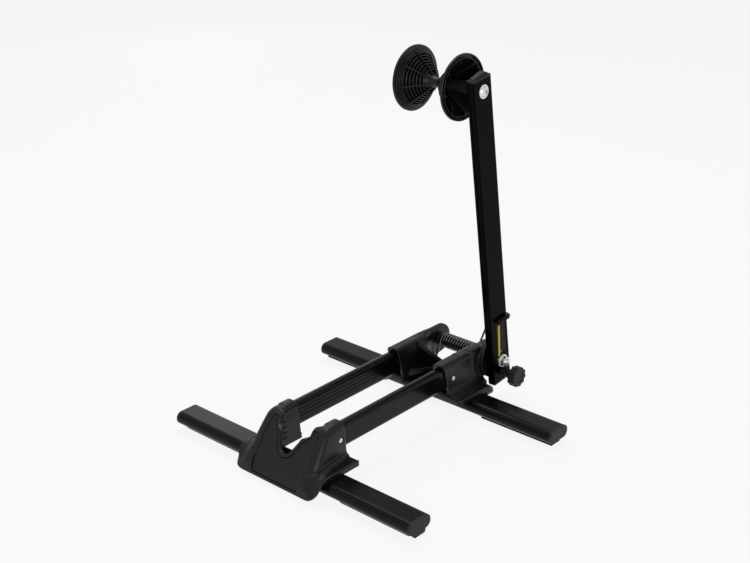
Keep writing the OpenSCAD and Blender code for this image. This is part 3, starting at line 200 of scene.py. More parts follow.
def extruded(name, level, rough, stretch, specular):
    """Anodised extrusion: satin, with fine die lines along its length."""
    s = Shader(name)
    lines = s.noise(900, 2.0, stretch=stretch)
    cloud = s.noise(9, 2.0)
    specks = s.noise(2600, 1.0)
    colour = s.mix(cloud, grey(level * 0.8), grey(level * 1.25))
    roughness = s.ramp(lines, 0.25, 0.75, rough - 0.03, rough + 0.03)
    fine = s.bump(specks, 0.01 * MM, 0.1)
    return s.surface(Base_Color=colour, Roughness=roughness, Specular_IOR_Level=specular,
                     Normal=s.bump(lines, 0.02 * MM, 0.1, under=fine))


def powder_coated(name, level, rough, specular=0.1):
    """Powder coat: soft orange peel."""
    s = Shader(name)
    peel = s.noise(650, 2.0)
    cloud = s.noise(14, 3.0)
    colour = s.mix(cloud, grey(level * 0.75), grey(level * 1.3))
    roughness = s.ramp(cloud, 0.3, 0.7, rough - 0.04, rough + 0.06)
    return s.surface(Base_Color=colour, Roughness=roughness, Specular_IOR_Level=specular,
                     Normal=s.bump(peel, 0.04 * MM, 0.35))


def rubber(name, level):
    """Dull rubber with a fine bloom."""
    s = Shader(name)
    bloom = s.noise(320, 3.0)
    colour = s.mix(bloom, grey(level * 0.75), grey(level * 1.4))
    roughness = s.ramp(bloom, 0.3, 0.7, 0.6, 0.75)
    return s.surface(Base_Color=colour, Roughness=roughness, Specular_IOR_Level=0.12,
                     Normal=s.bump(s.noise(1500), 0.03 * MM, 0.4))


def plated(name, level, rough):
    """Zinc-plated steel: bright, with faint turning marks and dull spots."""
    s = Shader(name)
    marks = s.noise(700, 2.0, stretch=(4.0, 0.6, 0.6))
    dullness_and_painted_shade = s.noise(130, 3.0)
    colour = s.mix(dullness_and_painted_shade, grey(level * 0.85), grey(level))
    roughness = s.ramp(dullness_and_painted_shade, 0.3, 0.75, rough, rough + 0.18)
    return s.surface(Base_Color=colour, Roughness=roughness, Metallic=1.0,
                     Normal=s.bump(marks, 0.01 * MM, 0.3))


def painted(name, colour, rough):
    """A printed colour, a little uneven."""
    s = Shader(name)
    cloud = s.noise(300, 2.0)
    darker = tuple(part * 0.8 for part in colour[:3]) + (1,)
    return s.surface(Base_Color=s.mix(cloud, darker, colour), Roughness=rough,
                     Specular_IOR_Level=0.3, Normal=s.bump(s.noise(900), 0.01 * MM, 0.3))


def gloss_black(name, level, rough):
    """Glossy dark coating on steel, as on the spring."""
    s = Shader(name)
    spots = s.noise(420, 2.0)
    roughness = s.ramp(spots, 0.3, 0.7, rough, rough + 0.12)
    colour = s.mix(spots, grey(level * 0.7), grey(level * 1.3))
    return s.surface(Base_Color=colour, Roughness=roughness, Specular_IOR_Level=0.6,
                     Coat_Weight=0.8, Coat_Roughness=0.12,
                     Normal=s.bump(s.noise(1200), 0.01 * MM, 0.3))


ACROSS = (0.02, 1.0, 1.0)
FORE_AFT = (1.0, 0.02, 1.0)
MATERIALS = {
    "foot_black": extruded("foot_black", 0.004, 0.26, ACROSS, 0.12),
    "rail_black": extruded("rail_black", 0.003, 0.17, FORE_AFT, 0.16),
    "arm_black": powder_coated("arm_black", 0.0015, 0.2, 0.035),
    # Its edges are painted much paler, mostly as a painted highlight on the rounded rims.
    "moulding_grey": moulded("moulding_grey", 0.0062, 0.36, edge_wear_and_highlight=4.5, specular=0.26),
    "cap_black": moulded("cap_black", 0.014, 0.42),
    # The cone's hollow is painted darker, as painted shade.
    "cone_black": moulded("cone_black", 0.005, 0.33, 0.015 * MM, specular=0.3, dull_and_painted_shade_part=HOLLOW),
    "knob_black": moulded("knob_black", 0.020, 0.45),
    "pad_rubber": rubber("pad_rubber", 0.010),
    "sleeve_rubber": rubber("sleeve_rubber", 0.012),
    "spring_black": gloss_black("spring_black", 0.006, 0.16),
    "bright_steel": plated("bright_steel", 0.78, 0.16),
    "dark_steel": powder_coated("dark_steel", 0.02, 0.35),
    "bush_plastic": moulded("bush_plastic", 0.5, 0.5),
    "bush_grey": moulded("bush_grey", 0.02, 0.5),
    "label": powder_coated("label", 0.004, 0.3),
    "arrow_yellow": painted("arrow_yellow", (0.9, 0.6, 0.03, 1), 0.35),
}


SLOT_OF = {row["node"]: row["material_slot"] for row in frame["record"]["subparts"]}
BODY_OF = {name: body for body, names in frame["record"]["behaviour"]["bodies"].items()
           for name in names}


def paint_nodes():
    """Gives each of the part's nodes the material of its slot."""
    for name, slot in SLOT_OF.items():
        data = NODES[name].data
        data.materials.clear()
        data.materials.append(MATERIALS[slot])


# Soft moulded shapes, as distances to their surface in millimetres: below zero inside
FRONT_FOOT_Y = -153.8


def rounded_and(a, b, radius):
    """What is inside both, with an edge of that radius."""
    return (np.minimum(-radius, np.maximum(a, b))
            + np.hypot(np.maximum(a + radius, 0), np.maximum(b + radius, 0)))


def rounded_or(a, b, radius):
    """What is inside either, with a fillet of that radius."""
    return (np.maximum(radius, np.minimum(a, b))
            - np.hypot(np.maximum(radius - a, 0), np.maximum(radius - b, 0)))


def without(a, b, radius):
    """What is inside a and outside b, with an edge of that radius."""
    return rounded_and(a, -b, radius)


def smooth(share):
    """A share between 0 and 1 with soft ends."""
    share = np.clip(share, 0, 1)
    return share * share * (3 - 2 * share)


def bar(u, v, low, high, radius):
    """A rectangle between two corners, with round corners."""
    du = np.abs(u - (low[0] + high[0]) / 2) - (high[0] - low[0]) / 2
    dv = np.abs(v - (low[1] + high[1]) / 2) - (high[1] - low[1]) / 2
    return rounded_and(du, dv, radius)


def outline(points, u, v):
    """Distance to a closed polygon."""
    u, v = np.broadcast_arrays(u, v)
    nearest = np.full(u.shape, np.inf, np.float32)
    inside = np.zeros(u.shape, bool)
    for (u0, v0), (u1, v1) in zip(points, points[1:] + points[:1]):
        du, dv = u1 - u0, v1 - v0
        pu, pv = u - u0, v - v0
        t = np.clip((pu * du + pv * dv) / (du * du + dv * dv), 0, 1)
        nearest = np.minimum(nearest, (pu - t * du) ** 2 + (pv - t * dv) ** 2)
        if dv:
            inside ^= ((v0 <= v) != (v1 <= v)) & (pu < du * pv / dv)
    return np.where(inside, -1, 1) * np.sqrt(nearest)


CELL_EDGES = [(a, b) for a in range(8) for b in range(8) if bin(a ^ b).count("1") == 1 and a < b]


def sampled(grid, low, step, points):
    """Values of a grid at points, by trilinear interpolation."""
    place = (points - low) / step
    cell = np.clip(place.astype(int), 0, np.array(grid.shape[:3]) - 2)
    share = place - cell
    total = 0
    for corner in range(8):
        offset = np.array([corner & 1, corner >> 1 & 1, corner >> 2 & 1])
        weight = np.where(offset, share, 1 - share).prod(1)
        i, j, k = (cell + offset).T
        value = grid[i, j, k]
        total = total + (weight[:, None] * value if value.ndim == 2 else weight * value)
    return total


def net(grid, low, step):
    """A quad mesh of the zero surface, with one point in each cell that it crosses."""
    inside = grid < 0
    shape = np.array(grid.shape) - 1
    corners = []
    for a in range(8):
        i, j, k = a & 1, a >> 1 & 1, a >> 2 & 1
        corners.append((slice(i, i + shape[0]), slice(j, j + shape[1]), slice(k, k + shape[2])))
    count = sum(inside[c].astype(np.int8) for c in corners)
    cells = np.argwhere((count > 0) & (count < 8))
    number = np.full(shape, -1, np.int64)
    number[tuple(cells.T)] = np.arange(len(cells))
    values = np.stack([grid[c][tuple(cells.T)] for c in corners], 1)
    spots = np.array([[a & 1, a >> 1 & 1, a >> 2 & 1] for a in range(8)], float)
    total = np.zeros((len(cells), 3))
    hits = np.zeros(len(cells))
    for a, b in CELL_EDGES:
        va, vb = values[:, a], values[:, b]
        crossed = (va < 0) != (vb < 0)
        t = np.where(crossed, va / np.where(crossed, va - vb, 1), 0)[:, None]
        total += crossed[:, None] * (spots[a] + t * (spots[b] - spots[a]))
        hits += crossed
    points = low + step * (cells + total / hits[:, None])
    quads = []
    for axis in range(3):
        first, second = [d for d in range(3) if d != axis]
        ahead = [slice(None)] * 3
        ahead[axis] = slice(1, None)
        behind = [slice(None)] * 3
        behind[axis] = slice(None, -1)
        changed = inside[tuple(ahead)] != inside[tuple(behind)]
        edges = np.argwhere(changed)
        edges = edges[(edges[:, first] > 0) & (edges[:, second] > 0)
                      & (edges[:, first] < shape[first]) & (edges[:, second] < shape[second])]
        around = []
        for step_first, step_second in ((0, 0), (1, 0), (1, 1), (0, 1)):
            cell = edges.copy()
            cell[:, first] -= step_first
            cell[:, second] -= step_second
            around.append(number[tuple(cell.T)])
        quad = np.stack(around, 1)
        leaving = inside[tuple(edges.T)]
        flip = leaving if axis == 1 else ~leaving
        quad[flip] = quad[flip][:, ::-1]
        quads.append(quad)
    return points, np.concatenate(quads)


SETTLING_STEPS = 3
SETTLING_SHARE = 0.8
GRID_STEP = 0.5
KEPT_FACES = 0.3


def moulding(name, field, low, high):
    """A mesh of the field's surface between two corners, thinned to its share of kept faces."""
    step = GRID_STEP
    low, high = np.array(low, float), np.array(high, float)
    counts = np.ceil((high - low) / step).astype(int) + 1
    x, y, z = [low[d] + step * np.arange(counts[d], dtype=np.float32) for d in range(3)]
    grid = field(x[:, None, None], y[None, :, None], z[None, None, :]).astype(np.float32)
    points, quads = net(grid, low, step)
    slopes = np.stack(np.gradient(grid, step), -1)
    for _ in range(SETTLING_STEPS):
        slope = sampled(slopes, low, step, points)
        steep = np.maximum((slope ** 2).sum(1), 0.04)
        away = sampled(grid, low, step, points) / steep
        points = points - slope * away[:, None] * SETTLING_SHARE
    mesh = bpy.data.meshes.new(name)
    shifted = (points + (0, FRONT_FOOT_Y, 0)) * MM
    mesh.from_pydata(shifted.tolist(), [], quads.tolist())
    piece = placed(name, mesh)
    thin = piece.modifiers.new("thin", "DECIMATE")
    thin.ratio = KEPT_FACES
    evaluated = piece.evaluated_get(bpy.context.evaluated_depsgraph_get())
    piece.data = bpy.data.meshes.new_from_object(evaluated)
    piece.data.name = name
    piece.modifiers.clear()
    kept = np.array([v.co for v in piece.data.vertices]) / MM - (0, FRONT_FOOT_Y, 0)
    slope = sampled(slopes, low, step, kept)
    slope /= np.linalg.norm(slope, axis=1, keepdims=True)
    piece.data.shade_smooth()
    piece.data.normals_split_custom_set_from_vertices(slope.tolist())
    return piece


def stand_for(piece, *nodes):
    """The piece replaces these nodes, rides as they do and has their finish."""
    slot = SLOT_OF[nodes[0]]
    piece.data.materials.clear()
    piece.data.materials.append(MATERIALS[slot])
    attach(piece, BODY_OF[nodes[0]])
    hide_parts(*nodes)
    return piece


# Front cradle, in millimetres from the middle of the front foot
PLATE_Y = -38
PLATE_LOW = 5
PLATE_BULGE = 5.7
PLATE_SUNK = 0.8
# One millimetre along the plate goes this far up and this far back
LEAN_UP, LEAN_BACK = 0.8, 0.6
BULGE_MIDDLE = 46
BULGE_HALF = 41
FOOT_TOP = 23
FOOT_HALF = 18.75
SLEEVE_IN = 29.9
SLEEVE_OUT = 49.8
RAIL_LOW_IN = (33.1, 38.6)
RAIL_TOP_OUT = (46.6, 71.3)
RAIL_EDGE = 5.5
RAIL_FRONT = 18
NOTCH = [(8.6, 44.0), (11.7, 49.5), (14.4, 54.5), (16.0, 58.4), (20.8, 61.7), (23.6, 64.8),
         (24.9, 68.5), (25.3, 73.5), (26.5, 84.0)]
NOTCH_LOW = 39.9
NOTCH_DIP = 9.8
NOTCH_BORDER = 5.6
PANEL_STEP = 0.7
PANEL_GROOVE = 1.5
PLATE_THICK = 5
TOOTH_DEEP = 2.2
CRADLE_BACK = 41
CRADLE_HALF = 70.6
BASE_TOP = 31
BASE_ROUND = 11
GUTTER_DEEP = 0.9
SKIRT_ROUND = 17
TOWER_TOP = 74.9
TOWER_RISE = 1.5
TOWER_BACK = 38
TOWER_LOW = 9
TOWER_ROUND = 8.5
TOWER_LIP = 4.8
BACK_SLANT = 0.08
SLANT_TOP = 76.5
SPLAY = 0.2
SPLAY_TOP = 73
PAST_MIDDLE = 40
SCREW_HEIGHT = 53
SCREW_SEAT = 47.4
CRADLE_SCREW = (31.3, 3.9)
BRACKET_SCREW = (243, 3.4)
BORE_GAP = 0.15
PANEL = [(38.0, 9.3), (40.5, 23.0), (41.4, 38.0), (40.8, 54.0), (38.2, 68.5), (36.0, 70.4)]
TEETH = [(35.8, 0.05), (42.5, 0.15), (50.1, 0.2), (57.8, 0.1), (65.4, 0.8)]


def plate_axes(y, z):
    """How far a point is in front of the bulged, leaning plate, and how far up along it."""
    share = np.maximum(1 - ((z - BULGE_MIDDLE) / BULGE_HALF) ** 2, 0.02)
    bulge = PLATE_BULGE * np.sqrt(share) - PLATE_SUNK
    front = -LEAN_UP * (y - PLATE_Y) + LEAN_BACK * (z - PLATE_LOW) - bulge
    along = along_plate(z - LEAN_BACK * front)
    return front, along


def along_plate(height):
    """How far up along the leaning plate that height is."""
    return (height - PLATE_LOW) / LEAN_UP


def both_ways(points):
    """A half outline of (half width, height) as a closed polygon in the plate's plane."""
    right = [(half, along_plate(height)) for half, height in points]
    return right + [(-half, up) for half, up in reversed(right)]


def cradle_tower(side, y, z, front):
    """The leaning wall over each rail end: its front corners widen downwards."""
    reach = TOWER_BACK - PLATE_Y - LEAN_BACK / LEAN_UP * (z - PLATE_LOW)
    depth = np.clip((TOWER_BACK - y) / np.maximum(reach, 20), 0, 1)
    flank = (side - SLEEVE_OUT - SPLAY * np.maximum(SPLAY_TOP - z, 0) * depth) / 1.02
    top = z - TOWER_TOP - TOWER_RISE * smooth((y - RAIL_FRONT) / 6)
    inner = (SLEEVE_IN - TOWER_LIP * smooth((17 - y) / 7)
             - PAST_MIDDLE * smooth((62 - z) / 8) - side)
    tower = rounded_and(rounded_and(flank, top, TOWER_ROUND), inner, 8)
    tower = np.maximum(tower, TOWER_LOW - z)
    return rounded_and(tower, front, 5 + 7 * smooth((74 - z) / 50))


def cradle_base(side, y, z, front):
    """The flange on the foot, with its shallow gutter, and the skirt before it."""
    share = np.clip((z - PLATE_LOW) / (BASE_TOP - PLATE_LOW), 0, 1)
    bulged = front + 1.2 * share * smooth((side - 47) / 15)
    edge = side - CRADLE_HALF
    gutter = z - BASE_TOP + GUTTER_DEEP * smooth((69.2 - side) / 2.5)
    base = rounded_and(bulged, gutter, BASE_ROUND)
    base = rounded_and(base, edge, 1.5 + 8 * smooth((27 - z) / 14))
    base = rounded_and(base, y - CRADLE_BACK, 3)
    return np.maximum(base, rounded_and(edge, PLATE_LOW - z, SKIRT_ROUND))


def screw_seat(side, y, z, screw):
    """The room for the head of the small screw that holds a rail."""
    place, radius = screw
    return np.maximum(np.hypot(y - place, z - SCREW_HEIGHT) - radius, SCREW_SEAT - side)


def cradle_panel(body, x, along, front, notch_here):
    """The body with its sunk front panel and the groove round it, and the panel's own shape."""
    panel = np.maximum(outline(both_ways(PANEL), x, along), NOTCH_BORDER - notch_here)
    body = without(body, np.maximum(panel, -front - PANEL_STEP), 0.25)
    groove = np.abs(panel + 0.1) - 0.5
    return without(body, np.maximum(groove, -front - PANEL_GROOVE), 0.25), panel


def cradle_field(x, y, z):
    """The whole cradle: towers, base, plate, notch, teeth and the room for its neighbours."""
    side = np.abs(x)
    front, along = plate_axes(y, z)
    tower = cradle_tower(side, y, z, front)
    base = cradle_base(side, y, z, front)
    body = rounded_or(tower, base, 6)
    bead = np.hypot(tower + 0.35, base - 5.4) - 1.3 * smooth((side - 44) / 6)
    body = rounded_or(body, np.maximum(bead, y - 36), 0.5)
    behind = np.maximum(TOWER_BACK + BACK_SLANT * (SLANT_TOP - z) - y, BASE_TOP + 0.2 - z)
    body = without(body, behind, 2.5)
    notch_here = outline(both_ways(NOTCH), x, along)
    dip = np.hypot(x, along - along_plate(NOTCH_LOW) - NOTCH_DIP) - NOTCH_DIP
    notch_here = np.minimum(notch_here, dip)
    body, panel = cradle_panel(body, x, along, front, notch_here)
    body = np.minimum(body, np.hypot(panel + 1.5, front + 0.9) - 0.7)
    body = np.minimum(body, np.hypot(panel - 1.0, front + 0.35) - 0.7 * smooth((z - 9) / 6))
    body = without(body, np.maximum(notch_here, -front - PLATE_THICK), 2.3)
    channel = np.maximum(side - SLEEVE_IN, np.maximum(front + PLATE_THICK, -y - FOOT_HALF))
    body = without(body, channel, 0.6)
    body = without(body, np.maximum(z - FOOT_TOP, front + 4.2), 0.4)
    for height, slope in TEETH:
        wedge = np.abs(z - height - slope * (y - 14)) - 0.2 * (18 - y)
        tooth = np.maximum(wedge, np.maximum(side - SLEEVE_IN - TOOTH_DEEP, 11.2 - y))
        body = without(body, tooth, 0.15)
    bore = np.maximum(bar(side, z, RAIL_LOW_IN, RAIL_TOP_OUT, RAIL_EDGE), RAIL_FRONT - y)
    body = without(body, bore - BORE_GAP, 0.5)
    return without(body, screw_seat(side, y, z, CRADLE_SCREW), 0.8)


def make_cradle():
    """The fuller front cradle, in place of the plain one."""
    piece = moulding("front_cradle_shell", cradle_field, (-72, -42, 4), (72, 42.5, 78))
    stand_for(piece, "front_cradle")


# Stage
FLOOR_HALF = 6.0
FLOOR_SHADE = 0.94
FLAG_SHADE = 0.01
BACKGROUND_SHARE = 0.88
AMBIENT = 0.3
AIM = (0, 0, 0.15)


def seen_or_mirrored(tree):
    """1 for rays from the camera and for rays that a surface mirrors or lets through, else 0."""
    rays = tree.nodes.new("ShaderNodeLightPath")
    seen = tree.nodes.new("ShaderNodeMath")
    mirrored = tree.nodes.new("ShaderNodeMath")
    seen.operation = mirrored.operation = "MAXIMUM"
    tree.links.new(rays.outputs["Is Glossy Ray"], mirrored.inputs[0])
    tree.links.new(rays.outputs["Is Transmission Ray"], mirrored.inputs[1])
    tree.links.new(rays.outputs["Is Camera Ray"], seen.inputs[0])
    tree.links.new(mirrored.outputs[0], seen.inputs[1])
    return seen.outputs[0]


def card(name, corners, shader, shade):
    """A flat sheet with four corners, and the diffuse node of its shader in that shade."""
    mesh = bpy.data.meshes.new(name)
    mesh.from_pydata(corners, [], [(0, 1, 2, 3)])
    mesh.materials.append(shader.material)
    diffuse = shader.node("ShaderNodeBsdfDiffuse")
    diffuse.inputs["Color"].default_value = (shade, shade, shade, 1)
    return placed(name, mesh), diffuse


def add_floor():
    """A pale floor that shows shadows, and is partly lit by itself where it is seen or mirrored."""
    h = FLOOR_HALF
    s = Shader("floor_pale")
    floor, diffuse = card("floor", [(-h, -h, 0), (h, -h, 0), (h, h, 0), (-h, h, 0)], s, FLOOR_SHADE)
    glow = s.node("ShaderNodeEmission")
    share = s.node("ShaderNodeMath", operation="MULTIPLY")
    s.link(seen_or_mirrored(s.tree), share.inputs[0])
    share.inputs[1].default_value = BACKGROUND_SHARE
    mixed = s.node("ShaderNodeMixShader")
    s.link(share.outputs[0], mixed.inputs[0])
    s.link(diffuse.outputs[0], mixed.inputs[1])
    s.link(glow.outputs[0], mixed.inputs[2])
    s.link(mixed.outputs[0], s.output.inputs["Surface"])


def add_world(ambient):
    """White where it is seen or mirrored, and of that strength as light."""
    world = bpy.data.worlds.new("studio")
    bpy.context.scene.world = world
    world.use_nodes = True
    tree = world.node_tree
    tree.nodes.clear()
    strength = tree.nodes.new("ShaderNodeMapRange")
    tree.links.new(seen_or_mirrored(tree), strength.inputs["Value"])
    strength.inputs["To Min"].default_value = ambient
    strength.inputs["To Max"].default_value = 1.0
    background = tree.nodes.new("ShaderNodeBackground")
    tree.links.new(strength.outputs["Result"], background.inputs["Strength"])
    output = tree.nodes.new("ShaderNodeOutputWorld")
    tree.links.new(background.outputs[0], output.inputs["Surface"])


def add_softbox(name, at, aim, wide, high, watts):
    """A lamp of that size in metres, turned towards its aim."""
    data = bpy.data.lights.new(name, "AREA")
    data.shape = "RECTANGLE"
    data.size = wide
    data.size_y = high
    data.energy = watts
    light = placed(name, data)
    light.location = at
    light.rotation_euler = (Vector(aim) - Vector(at)).to_track_quat("-Z", "Y").to_euler()


def add_flag():
    """A dark card high behind the object: upward faces mirror it."""
    corners = [(-2.6, 1.25, 2.1), (1.0, 1.25, 2.1), (1.0, 3.4, 2.9), (-2.6, 3.4, 2.9)]
    s = Shader("flag_black")
    flag, diffuse = card("flag", corners, s, FLAG_SHADE)
    s.link(diffuse.outputs[0], s.output.inputs["Surface"])


def add_lights():
    """Soft studio light: one large lamp above, one in front and one behind on the left."""
    add_world(AMBIENT)
    add_softbox("top_softbox", (-0.5, 0.6, 1.9), AIM, 1.5, 1.1, 16)
    add_softbox("front_strip", (1.35, -1.4, 0.65), AIM, 0.8, 1.1, 10)
    add_softbox("left_strip", (-1.9, 1.3, 0.9), AIM, 0.35, 1.4, 2.5)
    add_flag()


# Rear bracket, in millimetres from the middle of the front foot
FOOT_PITCH = 266.7
PIVOT_Y = 318.6
PIVOT_Z = 57
EAR_IN = 36
EAR_OUT = 42
EAR_RADIUS = 20.5
DISC_RADIUS = 26.98
DISC_OUT = 56.9
WEB_Y = 311
RAIL_REAR = 286
BRACKET_TOP = 76.5
BRACKET_LOW = 13
BRACKET_FRONT = 223
BRACKET_HALF = 70.5
BRACKET_GUTTER = 1.2
BASE_FRONT = 232
BACK_FACE = 3.5
WALL_BACK = 304
WALL_LOW = 25
MOUTH_SLANT = 0.25
FLARE = 3.4
FLARE_FADE = 4
WAIST_FROM = 280
WAIST_LONG = 22
WAIST_DEEP = 7.8
WEB_THICK = 5
LEDGE_Z = 34
LEDGE_HALF = 4
BORE_RADIUS = 4.1
PIN_OFFSET = 17.4
PIN_TIP = 50.9
SLOT_HALF = 2.8
SLOT_ENDS = (math.radians(-121.1), math.radians(-1.1))
ARM_SWEEP = 36.9
POCKET_LOW_IN = (34, 32.5)
POCKET_TOP_OUT = (45.7, 45)
POCKET_BACK = 250
WEB_NOTCH = [(5, 43.5), (SLEEVE_IN, 69.5), (34, 76), (36, 80)]


def rail_bore(side, y, z, end):
    """The room for a rail, with the small gap round it."""
    return np.maximum(bar(side, z, RAIL_LOW_IN, RAIL_TOP_OUT, RAIL_EDGE), y - end) - BORE_GAP


def bracket_base(side, y, z, behind):
    """The flange on the foot, down to its skirt behind the foot."""
    base = rounded_and(side - BRACKET_HALF, BASE_FRONT - y, 6)
    base = rounded_and(base, behind - BACK_FACE, 6.5)
    base = rounded_and(base, z - BASE_TOP + BRACKET_GUTTER * smooth((69.3 - side) / 2), 1.2)
    base = rounded_and(base, 14 - z, 6)
    return np.maximum(base, np.where(y > FOOT_PITCH + FOOT_HALF, BRACKET_LOW, FOOT_TOP) - z)


def bracket_ears(x, y, z, behind):
    """The two ears round the pivot, and the disc against which the arm turns."""
    reach = np.hypot(y - PIVOT_Y, z - PIVOT_Z)
    arch = np.maximum(z - PIVOT_Z - EAR_RADIUS, RAIL_REAR - 6 - y)
    front_half = np.maximum(arch, y - PIVOT_Y)
    low = np.maximum(behind - BACK_FACE, FOOT_TOP - z)
    left_side = np.minimum(reach - EAR_RADIUS,
                           np.maximum(front_half, np.minimum(np.maximum(low, 20 - z), 36 - z)))
    left = rounded_and(left_side, np.abs(x + (EAR_IN + EAR_OUT) / 2) - (EAR_OUT - EAR_IN) / 2, 1.5)
    right_side = np.minimum(reach - EAR_RADIUS, np.maximum(front_half, PIVOT_Z - EAR_RADIUS - z))
    right = rounded_and(right_side, np.abs(x - (EAR_IN + SLEEVE_OUT) / 2)
                        - (SLEEVE_OUT - EAR_IN) / 2, 2.5)
    disc = rounded_and(reach - DISC_RADIUS, np.abs(x - (SLEEVE_OUT + DISC_OUT) / 2 + 1.5)
                       - (DISC_OUT - SLEEVE_OUT) / 2 - 1.5, 1.2)
    return left, right, disc, reach


def pin_slot(x, y, z, reach):
    """The arc in the disc in which the locking pin travels."""
    angle = np.arctan2(z - PIVOT_Z, y - PIVOT_Y)
    between = (angle > SLOT_ENDS[0]) & (angle < SLOT_ENDS[1])
    middle = np.where(between, np.abs(reach - PIN_OFFSET), 99)
    for end in SLOT_ENDS:
        middle = np.minimum(middle, np.hypot(y - PIVOT_Y - PIN_OFFSET * math.cos(end),
                                             z - PIVOT_Z - PIN_OFFSET * math.sin(end)))
    return np.maximum(middle - SLOT_HALF, PIN_TIP - x)


def channel_half(y):
    """Half the room between the walls, which widens to that between the ears."""
    return SLEEVE_IN + (EAR_IN - SLEEVE_IN) * smooth((y - WAIST_FROM) / WAIST_LONG)


def bracket_walls(x, y, z):
    """The two walls beside the rails, and how far a point is before their slanted mouths."""
    side = np.abs(x)
    top = z - BRACKET_TOP
    mouth = BRACKET_FRONT + MOUTH_SLANT * (BRACKET_TOP - z) - y
    flare = FLARE * np.exp(-(np.maximum(z, 28) - 32) / FLARE_FADE)
    waist = WAIST_DEEP * smooth((y - 282) / WAIST_LONG) * (x < 0)
    flank = (side - SLEEVE_OUT - flare + waist) / np.sqrt(1 + (flare / FLARE_FADE) ** 2)
    inner = channel_half(y) - PAST_MIDDLE * smooth((66 - z) / 6) - side
    walls = rounded_and(rounded_and(flank, top, 7.5), inner, 5)
    walls = np.maximum(walls, WALL_LOW - z)
    walls = rounded_and(walls, y - WALL_BACK, 3)
    return rounded_and(walls, mouth, 1.0), mouth


def bracket_web(x, y, z, behind):
    """The leaning web behind the wheel, with its notch."""
    web = np.maximum(np.abs(behind - WEB_THICK / 2) - WEB_THICK / 2, np.abs(x) - EAR_IN - 1)
    web = np.maximum(rounded_and(web, z - 76, 0.5), BRACKET_LOW - z)
    up = LEAN_UP * (z - PLATE_LOW) - LEAN_BACK * (y - WEB_Y)
    notch_here = np.minimum(outline(both_ways(WEB_NOTCH), x, up),
                            np.hypot(x, up - along_plate(44) - 5) - 5)
    return without(web, notch_here, 1.5)


def bracket_field(x, y, z):
    """The whole bracket: walls, base, web, ledge, ears, disc and the room for its neighbours."""
    side = np.abs(x)
    behind = LEAN_UP * (y - WEB_Y) + LEAN_BACK * (z - PLATE_LOW)
    walls, mouth = bracket_walls(x, y, z)
    base = bracket_base(side, y, z, behind)
    crease = np.hypot(walls + 0.4, base - 6.4) - 1.4 * smooth((292 - y) / 8)
    body = rounded_or(rounded_or(walls, base, 7), np.maximum(crease, 228 - y), 0.5)
    rim = np.hypot(np.maximum(walls, SLEEVE_IN - side) + 0.55, mouth + 0.45) - 0.85
    body = np.minimum(body, np.maximum(rim, 38 - z))
    body = without(body, side - channel_half(y), 0.6)
    web = bracket_web(x, y, z, behind)
    floor_front = 275 - 30 * smooth((side - 8) / 24)
    ledge = rounded_and(np.abs(z - LEDGE_Z) - LEDGE_HALF, floor_front - y, 1.5)
    ledge = np.maximum(ledge, np.maximum(side - SLEEVE_IN - 1, behind - 2))
    skirt = np.maximum(base, side - SLEEVE_IN - 2)
    skirt = np.maximum(skirt, FOOT_PITCH + FOOT_HALF - y)
    body = rounded_or(np.minimum(body, skirt), rounded_or(web, ledge, 3), 2.5)
    left, right, disc, reach = bracket_ears(x, y, z, behind)
    body = rounded_or(body, left, 4)
    body = rounded_or(rounded_or(body, right, 5), disc, 2)
    body = without(body, np.maximum(reach - ARM_SWEEP, DISC_OUT - x), 0.8)
    body = without(body, reach - BORE_RADIUS, 0.3)
    body = without(body, pin_slot(x, y, z, reach), 0.3)
    body = without(body, rail_bore(side, y, z, RAIL_REAR), 0.5)
    pocket = np.maximum(bar(side, z, POCKET_LOW_IN, POCKET_TOP_OUT, 1.5), y - POCKET_BACK)
    body = without(body, pocket, 0.5)
    foot = np.maximum(z - FOOT_TOP, y - FOOT_PITCH - FOOT_HALF - 0.3)
    body = without(body, np.minimum(foot, z - BRACKET_LOW), 0.3)
    return without(body, screw_seat(side, y, z, BRACKET_SCREW), 0.8)


def make_bracket():
    """The fuller rear bracket, in place of the plain one."""
    piece = moulding("rear_bracket_shell", bracket_field, (-73, 219, 11), (73, 349, 86))
    stand_for(piece, "rear_bracket")


# Softened copies of machined and moulded nodes
SHARP = math.radians(32)
FLAT = math.radians(0.8)
SAME_PLACE = 0.004 * MM
SOFT_EDGES = {
    "front_foot_cap_left": 0.7, "front_foot_cap_right": 0.7, "rear_foot_cap_left": 0.7,
    "rear_foot_cap_right": 0.7, "arm_top_cap": 0.6, "arm_bottom_cap": 0.6, "knob": 0.55,
    "pivot_nut": 0.35, "roller_nut": 0.35, "roller_axle": 0.3, "pivot_nut_washer": 0.25,
    "pivot_head_washer": 0.25, "pivot_bolt": 0.35, "plunger_barrel": 0.3,
    "front_pad_left": 0.5, "front_pad_right": 0.5, "rear_pad_left": 0.5, "rear_pad_right": 0.5,
}


def soft_copy(node, width):
    """A copy of the node with rounded edges, which stands for it."""
    source = NODES[node].data
    mesh = bmesh.new()
    mesh.from_mesh(source)
    bmesh.ops.remove_doubles(mesh, verts=mesh.verts, dist=SAME_PLACE)
    bmesh.ops.dissolve_limit(mesh, angle_limit=FLAT, verts=mesh.verts, edges=mesh.edges)
    data = bpy.data.meshes.new(node + "_soft")
    mesh.to_mesh(data)
    mesh.free()
    piece = placed(node + "_soft", data)
    data.shade_smooth()
    bevel = piece.modifiers.new("edges", "BEVEL")
    bevel.width = width * MM
    bevel.segments = 3
    bevel.limit_method = "ANGLE"
    bevel.angle_limit = SHARP
    bevel.use_clamp_overlap = False
    bevel.miter_outer = "MITER_ARC"
    weighted = piece.modifiers.new("shading", "WEIGHTED_NORMAL")
    weighted.keep_sharp = True
    evaluated = piece.evaluated_get(bpy.context.evaluated_depsgraph_get())
    piece.data = bpy.data.meshes.new_from_object(evaluated)
    piece.modifiers.clear()
    return stand_for(piece, node)


